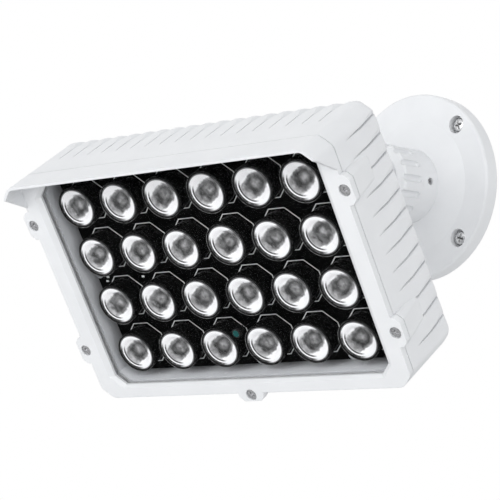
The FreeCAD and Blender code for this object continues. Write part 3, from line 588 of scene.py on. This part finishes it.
# Window
def glass_material(window):
    """Clear flat glass: little of it is seen, apart from a faint sheen and fine dust."""
    material, tree, shader = fresh_material("clear_window_glass", 0.04)
    material.blend_method = "BLEND"
    colour_by(tree, shader, noise(tree, 30.0 * MM, 4.0), window.dust_dark, window.dust_light)
    relief(tree, shader, noise(tree, 50.0 * MM, 1.0), 0.01 * MM)
    shader.inputs["Alpha"].default_value = window.haze
    shader.inputs["Specular IOR Level"].default_value = 0.5
    return material


def liner_material(window):
    """Grey glossy moulding with a light flow pattern and painted shade: darker at its foot and on faces that
    don't look up.
    """
    material, tree, shader = fresh_material("grey_gloss_wall", 0.2)
    stops = [(0.35, toned(window.liner, 0.95)), (0.65, window.liner)]
    flow = colour_run(tree, noise(tree, 20.0 * MM, 2.0), stops)
    surface = add_node(tree, "ShaderNodeNewGeometry")
    # Painted light: faces that look up the head are painted paler, the others darker
    painted_up_light = grey_run(tree, along(tree, surface.outputs["Normal"], HEAD_UP), [(0.0, 0.84), (0.8, 1.0)])
    height = along(tree, from_head_middle(tree), HEAD_OUT)
    # Painted shade: the wall is painted darker towards its foot at the board
    depth = level_run(tree, height, window.wall_foot, window.wall_top)
    painted_foot_shade = grey_run(tree, depth, [(0.0, 0.52), (1.0, 1.0)])
    shaded = mixed(tree, "MULTIPLY", 1.0, flow, painted_up_light)
    tree.links.new(mixed(tree, "MULTIPLY", 1.0, shaded, painted_foot_shade), shader.inputs["Base Color"])
    roughness_by(tree, shader, noise(tree, 5.0 * MM, 3.0), 0.14, 0.28)
    relief(tree, shader, noise(tree, 12.0 * MM, 1.0), 0.12 * MM)
    return material


def rubber_material(name, tint, roughness):
    """Silicone rubber with a fine uneven skin."""
    material, tree, shader = fresh_material(name, roughness)
    colour_by(tree, shader, noise(tree, 3.0 * MM, 4.0), tint, toned(tint, 1.5))
    roughness_by(tree, shader, noise(tree, 1.0 * MM, 2.0), roughness - 0.1, roughness + 0.08)
    relief(tree, shader, noise(tree, 0.6 * MM, 3.0), 0.02 * MM)
    shader.inputs["Specular IOR Level"].default_value = 0.3
    return material


class ILLUMINATOR_OT_window(bpy.types.Operator):
    """Finish the window glass, the seals and the wall round the lights"""

    bl_idname = "illuminator.window"
    bl_label = "Window"

    def execute(self, context):
        window = context.scene.illuminator_window
        dress("window_glass", glass_material(window))
        dress("cavity_liner", liner_material(window))
        dress("window_gasket", rubber_material("dark_silicone", window.seal, 0.55))
        dress("gland_seal", rubber_material("black_silicone", window.gland_seal, 0.6))
        dress("housing_gasket", rubber_material("grey_silicone", window.seam, 0.6))
        return {"FINISHED"}


# Light board
def solder_mask(name, roughness, low, high, scale, gap, smooth, turn=(0.0, 0.0, 0.0)):
    """Board with its copper tracks showing faintly through the mask."""
    material, tree, shader = fresh_material(name, roughness)
    sockets = {
        "Vector": own_place(tree, turn=turn), "Scale": scale, "Mortar Size": gap, "Mortar Smooth": smooth,
    }
    tracks = add_node(tree, "ShaderNodeTexBrick", sockets).outputs["Fac"]
    colour_by(tree, shader, tracks, low, high, 0.2, 0.8)
    relief(tree, shader, tracks, 0.03 * MM)
    return material, shader


def board_material(board):
    """Black solder mask, with its tracks square to the head."""
    turn = (-HEAD_TIP, 0.0, -HEAD_PAN)
    material, shader = solder_mask(
        "black_solder_mask", 0.38, board.mask_dark, board.mask_light,
        scale=90.0, gap=0.035, smooth=0.3, turn=turn,
    )
    shader.inputs["Specular IOR Level"].default_value = 0.02
    return material


def cup_material(lens):
    """Black moulded plastic of the cups, with a painted grey highlight at the rim's outer edge, most on the
    far side.
    """
    material, tree, shader = fresh_material("black_moulded_cup", 0.24)
    spot = from_head_middle(tree)
    parts = []
    for axis in (HEAD_ACROSS, HEAD_UP):
        within = number_step(tree, "FLOORED_MODULO", along(tree, spot, axis), lens.pitch)
        parts.append(number_step(tree, "SUBTRACT", within, 0.5 * lens.pitch))
    in_cup = flat_vector(tree, *parts)
    from_axis = vector_step(tree, "LENGTH", in_cup)
    far = (-math.sin(lens.painted_light_angle), math.cos(lens.painted_light_angle), 0.0)
    towards_far = number_step(tree, "DIVIDE", along(tree, in_cup, far), from_axis)
    edge = lens.radius + lens.cup_wall
    at_edge = soft_step(tree, from_axis, edge - 0.42 * MM, edge - 0.15 * MM)
    on_rim = soft_step(tree, along(tree, spot, HEAD_OUT), -0.6 * MM, -0.3 * MM)
    # Painted highlight: a grey ring on the rim's outer edge, strongest on the far side
    painted_rim_highlight = product(tree, at_edge, on_rim, soft_step(tree, towards_far, -0.4, 0.6, 0.08, 1.0))
    black = grey_cloud(tree, 4.0 * MM, 3.0, [(0.35, 0.0025), (0.65, 0.007)])
    grey = grey_cloud(tree, 2.2 * MM, 2.0, [(0.35, 0.06), (0.62, 0.24)])
    tree.links.new(mixed(tree, "MIX", painted_rim_highlight, black, grey), shader.inputs["Base Color"])
    roughness_by(tree, shader, noise(tree, 1.2 * MM, 2.0), 0.16, 0.34)
    relief(tree, shader, noise(tree, 1.8 * MM, 2.0), 0.004 * MM, edge_round=0.3 * MM)
    shader.inputs["Specular IOR Level"].default_value = 0.1
    return material


def light_material(board):
    """Pale ceramic package with a faint grain."""
    material, tree, shader = fresh_material("pale_ceramic", 0.3)
    colour_by(tree, shader, noise(tree, 1.2 * MM, 3.0), board.light_dark, board.light_light)
    relief(tree, shader, noise(tree, 0.6 * MM), 0.01 * MM, edge_round=0.15 * MM)
    return material


def photocell_material(board):
    """Teal lacquer with a fine winding track, inside a dark rim and over dark leads."""
    material, tree, shader = fresh_material("teal_photocell", 0.22)
    sockets = {"Vector": own_place(tree), "Scale": 420.0, "Distortion": 1.2}
    track = add_node(tree, "ShaderNodeTexWave", sockets).outputs["Fac"]
    teal = colour_run(tree, track, [(0.3, board.cell_dark), (0.7, board.cell_light)])
    centre = HEAD_PLACE @ Vector((board.cell_across, board.cell_up, 0.0))
    spot = vector_step(tree, "SUBTRACT", own_place(tree), tuple(centre))
    on_face = flat_vector(tree, along(tree, spot, HEAD_ACROSS), along(tree, spot, HEAD_UP))
    edge = 0.15 * MM
    from_axis = vector_step(tree, "LENGTH", on_face)
    inside = soft_step(tree, from_axis, board.cell_face + edge, board.cell_face - edge)
    on_top = soft_step(tree, along(tree, spot, HEAD_OUT), board.cell_low, board.cell_low + 0.2 * MM)
    dark = grey_cloud(tree, 1.0 * MM, 2.0, [(0.3, 0.012), (0.7, 0.03)])
    lacquered = mixed(tree, "MIX", product(tree, inside, on_top), dark, teal)
    tree.links.new(lacquered, shader.inputs["Base Color"])
    relief(tree, shader, track, 0.03 * MM, edge_round=0.2 * MM)
    shader.inputs["Specular IOR Level"].default_value = 0.2
    return material


class ILLUMINATOR_OT_board(bpy.types.Operator):
    """Finish the light board with its lights, cups and photocell"""

    bl_idname = "illuminator.board"
    bl_label = "Light board"

    def execute(self, context):
        board = context.scene.illuminator_board
        dress("led_board", board_material(board))
        dress("lens_holders", cup_material(context.scene.illuminator_lens))
        dress("led_emitters", light_material(board))
        dress("light_sensor", photocell_material(board))
        return {"FINISHED"}


# Lenses
def lens_profile(lens):
    """Profile from the middle of the eye over the bowl and the front ring to the middle of the foot,
    and the material number of each of its bands: the front has the first, the cone the second."""
    eye_steps = 6
    bowl_steps = 7
    eye_z = -lens.bowl_depth
    front = []
    for step in range(eye_steps + 1):
        radius = lens.eye_radius * step / eye_steps
        rise = lens.eye_rise * (1.0 - (radius / lens.eye_radius) ** 2)
        front.append((radius, eye_z + rise))
    for step in range(1, bowl_steps + 1):
        t = step / bowl_steps
        radius = lens.eye_radius + (lens.bowl_rim - lens.eye_radius) * t
        front.append((radius, eye_z * (1.0 - math.sin(0.5 * math.pi * t))))
    land = lens.land
    front += [(lens.radius - 3 * land, 0.0), (lens.radius - 2 * land, -land), (lens.radius - land, 0.0)]
    cone = [
        (lens.radius, -land), (lens.radius, -lens.flange), (lens.neck, -lens.flange),
        (lens.foot, -lens.depth), (0.0, -lens.depth),
    ]
    return front + cone, [0] * (len(front) - 1) + [1] * len(cone)


def lens_front_material(lens):
    """Front of a lens, all painted light: white sides painted as reflections of the bright surroundings, a
    clouded grey eye between them painted as the image of the dark light inside, and fine rings of painted
    shade and highlight on the far side. Lengths are in lens widths."""
    material, tree, shader = fresh_material("lens_front", 0.14)
    place = add_node(tree, "ShaderNodeUVMap")
    spot = vector_step(tree, "SUBTRACT", place.outputs["UV"], (0.5, 0.5, 0.0))
    out = vector_step(tree, "LENGTH", spot)
    lit = (math.cos(lens.painted_light_angle), math.sin(lens.painted_light_angle), 0.0)
    near = (lit[1], -lit[0], 0.0)
    towards_lit = along(tree, spot, lit)
    towards_near = along(tree, spot, near)

    # How far out of the oval eye a place lies, with a rippled edge
    ripple = soft_step(tree, noise(tree, 3.5 * MM, 2.0), 0.3, 0.7, -0.07, 0.07)
    from_eye = number_step(tree, "SUBTRACT", towards_near, lens.eye_shift)
    across_eye = number_step(tree, "DIVIDE", towards_lit, lens.eye_short)
    eye = flat_vector(tree, across_eye, number_step(tree, "DIVIDE", from_eye, lens.eye_long))
    eye_out = number_step(tree, "ADD", vector_step(tree, "LENGTH", eye), ripple)

    # Inside the painted eye, all painted reflection: dark patches round a pale spot, a paler rim, and a pale
    # band on the far side
    patches = grey_cloud(tree, 4.0 * MM, 1.2, [(0.34, 0.014), (0.52, 0.045), (0.70, 0.14)])
    pale = grey_cloud(tree, 2.2 * MM, 1.5, [(0.30, 0.13), (0.70, 0.46)])
    pale_middle = tuple(lens.spot_shift * part for part in near)
    from_pale = vector_step(tree, "LENGTH", vector_step(tree, "SUBTRACT", spot, pale_middle))
    core = mixed(tree, "MIX", soft_step(tree, from_pale, 0.19, 0.01), patches, pale)
    rim_cloud = grey_cloud(tree, 3.0 * MM, 2.0, [(0.32, 0.10), (0.70, 0.32)])
    cloud = mixed(tree, "MIX", soft_step(tree, eye_out, 0.62, 0.90), core, rim_cloud)
    far_band = grey_cloud(tree, 2.4 * MM, 2.0, [(0.32, 0.24), (0.66, 0.48)])
    in_band = soft_step(tree, number_step(tree, "ADD", towards_near, ripple), -0.10, -0.34)
    cloud = mixed(tree, "MIX", in_band, cloud, far_band)

    # Painted reflections of the bright surroundings: the white sides beyond the eye
    painted_reflection = grey_cloud(tree, 1.3 * MM, 2.0, [(0.30, 0.90), (0.42, 0.97)])
    beyond_eye = soft_step(tree, eye_out, 0.88, 1.10)
    front = mixed(tree, "MIX", beyond_eye, cloud, painted_reflection)

    # Painted shade and highlight: dark and white rings near the rim, on the far side alone, and painted shade
    # at the dark outer edge
    rings = grey_run(tree, out, [
        (0.348, 0.50), (0.360, 0.02), (0.380, 0.02), (0.391, 0.97), (0.412, 0.97), (0.423, 0.02),
    ])
    far_side = soft_step(tree, number_step(tree, "DIVIDE", towards_near, out), -0.35, -0.75)
    dashes = soft_step(tree, noise(tree, 1.4 * MM, 1.0), 0.34, 0.44, 0.75, 1.0)
    outside = soft_step(tree, out, 0.335, 0.358)
    ringed = mixed(tree, "MIX", product(tree, far_side, dashes, outside), front, rings)
    edge = grey_run(tree, out, [(0.462, 1.0), (0.480, 0.08)])
    tree.links.new(mixed(tree, "MULTIPLY", 1.0, ringed, edge), shader.inputs["Base Color"])
    tree.links.new(soft_step(tree, beyond_eye, 0.0, 1.0, 0.12, 0.28), shader.inputs["Roughness"])
    relief(tree, shader, noise(tree, 3.0 * MM, 1.0), 0.03 * MM)
    shader.inputs["Coat Weight"].default_value = 0.15
    shader.inputs["Coat Roughness"].default_value = 0.03
    return material


def lens_cone_material(lens):
    """Clear cone under the front, seen dark inside its cup."""
    material, tree, shader = fresh_material("lens_body", 0.1)
    colour_by(tree, shader, noise(tree, 3.0 * MM, 2.0), lens.cone_dark, lens.cone_light)
    relief(tree, shader, noise(tree, 2.0 * MM, 1.0), 0.02 * MM)
    shader.inputs["Coat Weight"].default_value = 0.4
    return material


class ILLUMINATOR_OT_lenses(bpy.types.Operator):
    """Mould the lenses over the lights"""

    bl_idname = "illuminator.lenses"
    bl_label = "Lenses"

    def execute(self, context):
        lens = context.scene.illuminator_lens
        segments = 48
        profile, paint = lens_profile(lens)
        mesh = bmesh.new()
        for x, y in light_places(lens):
            lathe(mesh, profile, segments, HEAD_PLACE @ Matrix.Translation((x, y, 0.0)), paint)
        materials = (lens_front_material(lens), lens_cone_material(lens))
        piece = finished_object("collimator_lenses", mesh, materials)
        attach(piece, "head")
        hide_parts("lens_optics")
        return {"FINISHED"}


# Print on the light board
def octagon(half):
    """Corners of an upright regular octagon."""
    eighth = math.pi / 4
    radius = half / math.cos(0.5 * eighth)
    turns = [0.5 * eighth + i * eighth for i in range(8)]
    return [(radius * math.cos(turn), radius * math.sin(turn)) for turn in turns]


def printed_corners(mesh, outline, z):
    return ring_of_corners(mesh, HEAD_PLACE, [Vector((x, y, z)) for x, y in outline])


def printed_strip(mesh, inner, outer, low, high):
    """Closed raised line between two outlines with as many corners."""
    levels = [
        printed_corners(mesh, outline, z)
        for outline, z in ((inner, low), (inner, high), (outer, high), (outer, low))
    ]
    for first, second in zip(levels, levels[1:] + levels[:1]):
        bridge(mesh, second, first)


def printed_mark(mesh, x, y, half_w, half_h, low, high):
    """Small raised mark with cut corners."""
    cut = 0.3 * min(half_w, half_h)
    outline = [
        (x + half_w, y - half_h + cut), (x + half_w, y + half_h - cut), (x + half_w - cut, y + half_h),
        (x - half_w + cut, y + half_h), (x - half_w, y + half_h - cut), (x - half_w, y - half_h + cut),
        (x - half_w + cut, y - half_h), (x + half_w - cut, y - half_h),
    ]
    bottom = printed_corners(mesh, outline, low)
    top = printed_corners(mesh, outline, high)
    mesh.faces.new(top)
    mesh.faces.new(bottom[::-1])
    bridge(mesh, top, bottom)


def ink_material(ink):
    """White ink, worn thin in places."""
    material, tree, shader = fresh_material("white_board_print", 0.5)
    colour_by(tree, shader, noise(tree, 1.2 * MM, 4.0), toned(ink.tint, 0.72), ink.tint, 0.30, 0.48)
    relief(tree, shader, noise(tree, 0.6 * MM, 3.0), 0.02 * MM)
    return material


class ILLUMINATOR_OT_board_print(bpy.types.Operator):
    """Print the outlines round the cups on the light board"""

    bl_idname = "illuminator.board_print"
    bl_label = "Board print"

    def execute(self, context):
        ink = context.scene.illuminator_print
        low = -ink.depth
        high = low + ink.ink
        mesh = bmesh.new()
        for x, y in light_places(context.scene.illuminator_lens):
            inner = [(x + a, y + b) for a, b in octagon(ink.half_width - ink.line)]
            outer = [(x + a, y + b) for a, b in octagon(ink.half_width)]
            printed_strip(mesh, inner, outer, low, high)
        for x, y in PRINT_MARKS:
            printed_mark(mesh, x, y, ink.mark, 0.6 * ink.mark, low, high)
        piece = finished_object("board_print", mesh, (ink_material(ink),))
        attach(piece, "head")
        return {"FINISHED"}


# Wall screws
def in_slot(screw, radius, angle):
    """Whether a place on the head lies in its cross slot."""
    x = abs(radius * math.cos(angle))
    y = abs(radius * math.sin(angle))
    return min(x, y) < screw.slot_width and max(x, y) < screw.slot_length


def screw_top(screw, radius, angle):
    """Height of the crowned head at a place, with its cross slot, which is deepest in the middle."""
    rim_share = 0.62
    slot_rise = 0.45
    rise = math.sqrt(max(0.0, 1.0 - (radius / screw.head_radius) ** 2))
    top = screw.head_height * (rim_share + (1.0 - rim_share) * rise)
    if in_slot(screw, radius, angle):
        top -= screw.slot_depth * (1.0 - slot_rise * radius / screw.slot_length)
    return top


def wall_screw(mesh, screw, place):
    """One screw: a crowned head over a straight shank, with painted shade in its cross slot and round its
    rim.
    """
    segments = 72
    steps = 22
    shade_rim_steps = 2
    rings = [ring_of_corners(mesh, place, [Vector((0.0, 0.0, screw_top(screw, 0.0, 0.0)))])]
    for step in range(1, steps + 1):
        radius = screw.head_radius * step / steps
        spots = circle_points(radius, 0.0, segments)
        for i, spot in enumerate(spots):
            spot.z = screw_top(screw, radius, turn_of(i, segments))
        rings.append(ring_of_corners(mesh, place, spots))
    for radius, height in ((screw.head_radius, 0.0), (screw.shank, 0.0), (screw.shank, -screw.seat)):
        rings.append(ring_of_corners(mesh, place, circle_points(radius, height, segments)))
    flat_ring = rings[-2]
    for band, (inner, outer) in enumerate(zip(rings, rings[1:])):
        middle = screw.head_radius * (band + 0.5) / steps
        for i, face in enumerate(bridge(mesh, inner, outer)):
            face.smooth = outer is not flat_ring
            # Painted shade: the cross slot, the outer bands of the head, its side and its shank take the dark
            # slot steel
            dark = band >= steps - shade_rim_steps or in_slot(screw, middle, turn_of(i + 0.5, segments))
            face.material_index = 1 if dark else 0
    mesh.faces.new(rings[-1])


class ILLUMINATOR_OT_wall_screws(bpy.types.Operator):
    """Set the four cross-slot screws into the wall flange"""

    bl_idname = "illuminator.wall_screws"
    bl_label = "Wall screws"

    def execute(self, context):
        screw = context.scene.illuminator_screw
        steel = context.scene.illuminator_steel
        mesh = bmesh.new()
        for i, slot_turn in enumerate(SLOT_TURNS):
            angle = FIRST_SCREW + turn_of(i, len(SLOT_TURNS))
            spot = Vector((screw.circle * math.cos(angle), screw.circle * math.sin(angle), screw.seat))
            place = BASE_PLACE @ Matrix.Translation(spot) @ Matrix.Rotation(slot_turn, 4, "Z")
            wall_screw(mesh, screw, place)
        heads = steel_material("bright_screw_steel", steel.wall_dark, steel.wall_light, steel.roughness)
        # The dark slot steel is painted shade
        slots = steel_material("dark_screw_slots", steel.slot_dark, steel.slot_light, steel.slot_roughness)
        piece = finished_object("wall_screws", mesh, (heads, slots))
        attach(piece, "base")
        return {"FINISHED"}


# Driver electronics and gland
def wound_material(driver):
    """Yellow tape in layers."""
    material, tree, shader = fresh_material("yellow_winding_tape", 0.4)
    layers = add_node(tree, "ShaderNodeTexWave", {"Vector": own_place(tree), "Scale": 300.0}).outputs["Fac"]
    colour_by(tree, shader, layers, driver.tape_dark, driver.tape_light, 0.2, 0.8)
    relief(tree, shader, layers, 0.05 * MM)
    return material


class ILLUMINATOR_OT_driver(bpy.types.Operator):
    """Finish the driver board and what stands on it"""

    bl_idname = "illuminator.driver"
    bl_label = "Driver"

    def execute(self, context):
        driver = context.scene.illuminator_driver
        mask, _ = solder_mask(
            "green_solder_mask", 0.3, driver.mask_dark, driver.mask_light, scale=160.0, gap=0.06, smooth=0.1,
        )
        dress("driver_board", mask)
        dress("transformer_coil", wound_material(driver))
        moulded = (
            ("transformer_core", "dark_ferrite", driver.ferrite_dark, driver.ferrite_light, 0.55),
            ("driver_capacitors", "dark_blue_sleeve", driver.sleeve_dark, driver.sleeve_light, 0.25),
            ("power_header", "black_header", driver.header_dark, driver.header_light, 0.45),
        )
        for node, name, low, high, roughness in moulded:
            dress(node, moulded_material(name, low, high, roughness))
        return {"FINISHED"}


class ILLUMINATOR_OT_gland(bpy.types.Operator):
    """Finish the cable gland on the rear wall"""

    bl_idname = "illuminator.gland"
    bl_label = "Cable gland"

    def execute(self, context):
        plastic = context.scene.illuminator_plastic
        grey = moulded_material("light_grey_nylon", plastic.gland_dark, plastic.gland_light, 0.42)
        for node in ("gland_body", "gland_nut", "gland_locknut"):
            dress(node, grey)
        return {"FINISHED"}


# Studio
def floor_material(studio):
    """Pale matt floor that runs out into the white surround towards its rim."""
    material, tree, shader = fresh_material("pale_floor", 0.7)
    shader.inputs["Specular IOR Level"].default_value = 0.1
    colour_by(tree, shader, noise(tree, 400.0 * MM), toned(studio.floor_tint, 0.97), studio.floor_tint)
    from_middle = vector_step(tree, "LENGTH", own_place(tree))
    rim = soft_step(tree, from_middle, 0.2 * studio.floor_radius, 0.85 * studio.floor_radius)
    path = add_node(tree, "ShaderNodeLightPath")
    white = add_node(tree, "ShaderNodeEmission")
    seen_rim = product(tree, rim, path.outputs["Is Camera Ray"])
    sockets = {0: seen_rim, 1: shader.outputs["BSDF"], 2: white.outputs["Emission"]}
    mix = add_node(tree, "ShaderNodeMixShader", sockets)
    tree.links.new(mix.outputs["Shader"], tree.nodes["Material Output"].inputs["Surface"])
    return material


def make_floor(studio, level):
    mesh = bmesh.new()
    sides = 64
    mesh.faces.new([mesh.verts.new(spot) for spot in circle_points(studio.floor_radius, level, sides)])
    floor = finished_object("studio_floor", mesh, (floor_material(studio),))
    floor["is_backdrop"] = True


def make_lamp(name, spot, size, watts):
    data = bpy.data.lights.new(name, "AREA")
    data.shape = "DISK"
    data.size = size
    data.energy = watts
    lamp = bpy.data.objects.new(name, data)
    lamp.location = spot
    lamp.rotation_euler = (Vector(LAMP_AIM) - Vector(spot)).to_track_quat("-Z", "Y").to_euler()
    bpy.context.scene.collection.objects.link(lamp)


def make_surround(studio):
    """White to the camera and in reflections, and a softer grey as light, brighter from below."""
    world = bpy.data.worlds.new("studio_surround")
    bpy.context.scene.world = world
    world.use_nodes = True
    tree = world.node_tree
    tree.nodes.clear()
    place = add_node(tree, "ShaderNodeTexCoord")
    parts = add_node(tree, "ShaderNodeSeparateXYZ", {"Vector": place.outputs["Generated"]})
    below = studio.surround + studio.glow
    above = studio.surround - studio.glow
    level = level_run(tree, parts.outputs["Z"], -1.0, 1.0, below, above)
    light = add_node(tree, "ShaderNodeBackground", {"Color": (0.98, 0.99, 1.0, 1.0), "Strength": level})
    seen = add_node(tree, "ShaderNodeBackground", {"Color": (1.0, 1.0, 1.0, 1.0), "Strength": 1.0})
    path = add_node(tree, "ShaderNodeLightPath")
    is_seen = number_step(tree, "MAXIMUM", path.outputs["Is Camera Ray"], path.outputs["Is Glossy Ray"])
    is_seen = number_step(tree, "MAXIMUM", is_seen, path.outputs["Is Transmission Ray"])
    sockets = {0: is_seen, 1: light.outputs["Background"], 2: seen.outputs["Background"]}
    mix = add_node(tree, "ShaderNodeMixShader", sockets)
    add_node(tree, "ShaderNodeOutputWorld", {"Surface": mix.outputs["Shader"]})


def make_camera(studio):
    data = bpy.data.cameras.new("studio_camera")
    data.sensor_width = SENSOR_WIDTH
    data.lens = studio.focal
    data.clip_end = CAMERA_REACH
    camera = bpy.data.objects.new("studio_camera", data)
    camera.location = CAMERA_PLACE
    camera.rotation_euler = CAMERA_TURN
    bpy.context.scene.collection.objects.link(camera)
    bpy.context.scene.camera = camera


class ILLUMINATOR_OT_studio(bpy.types.Operator):
    """Set the floor, the surround, the lamps and the camera"""

    bl_idname = "illuminator.studio"
    bl_label = "Studio"

    def execute(self, context):
        studio = context.scene.illuminator_studio
        low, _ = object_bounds()
        make_floor(studio, low[2] - studio.floor_drop)
        make_surround(studio)
        for name, spot, size in LAMPS:
            make_lamp(name + "_lamp", spot, size, getattr(studio, name))
        make_camera(studio)
        context.scene.view_settings.view_transform = "Standard"
        return {"FINISHED"}


OPERATORS = (
    ILLUMINATOR_OT_castings,
    ILLUMINATOR_OT_fasteners,
    ILLUMINATOR_OT_window,
    ILLUMINATOR_OT_board,
    ILLUMINATOR_OT_lenses,
    ILLUMINATOR_OT_board_print,
    ILLUMINATOR_OT_wall_screws,
    ILLUMINATOR_OT_driver,
    ILLUMINATOR_OT_gland,
    ILLUMINATOR_OT_studio,
)


class ILLUMINATOR_PT_panel(bpy.types.Panel):
    """Sizes and finishes of the illuminator"""

    bl_idname = "ILLUMINATOR_PT_panel"
    bl_label = "Illuminator"
    bl_space_type = "VIEW_3D"
    bl_region_type = "UI"
    bl_category = "Illuminator"

    def draw(self, context):
        for group, kind in GROUPS:
            box = self.layout.box()
            box.label(text=kind.__doc__)
            values = getattr(context.scene, group)
            for name in kind.__annotations__:
                box.prop(values, name)
        for operator in OPERATORS:
            self.layout.operator(operator.bl_idname)


def register():
    for name, kind in GROUPS:
        bpy.utils.register_class(kind)
        setattr(bpy.types.Scene, name, bpy.props.PointerProperty(type=kind))
    for operator in OPERATORS:
        bpy.utils.register_class(operator)
    bpy.utils.register_class(ILLUMINATOR_PT_panel)


def unregister():
    bpy.utils.unregister_class(ILLUMINATOR_PT_panel)
    for operator in reversed(OPERATORS):
        bpy.utils.unregister_class(operator)
    for name, kind in reversed(GROUPS):
        delattr(bpy.types.Scene, name)
        bpy.utils.unregister_class(kind)


def main():
    register()
    bpy.ops.illuminator.castings()
    bpy.ops.illuminator.fasteners()
    bpy.ops.illuminator.window()
    bpy.ops.illuminator.board()
    bpy.ops.illuminator.lenses()
    bpy.ops.illuminator.board_print()
    bpy.ops.illuminator.wall_screws()
    bpy.ops.illuminator.driver()
    bpy.ops.illuminator.gland()
    bpy.ops.illuminator.studio()


if __name__ == "__main__":
    main()
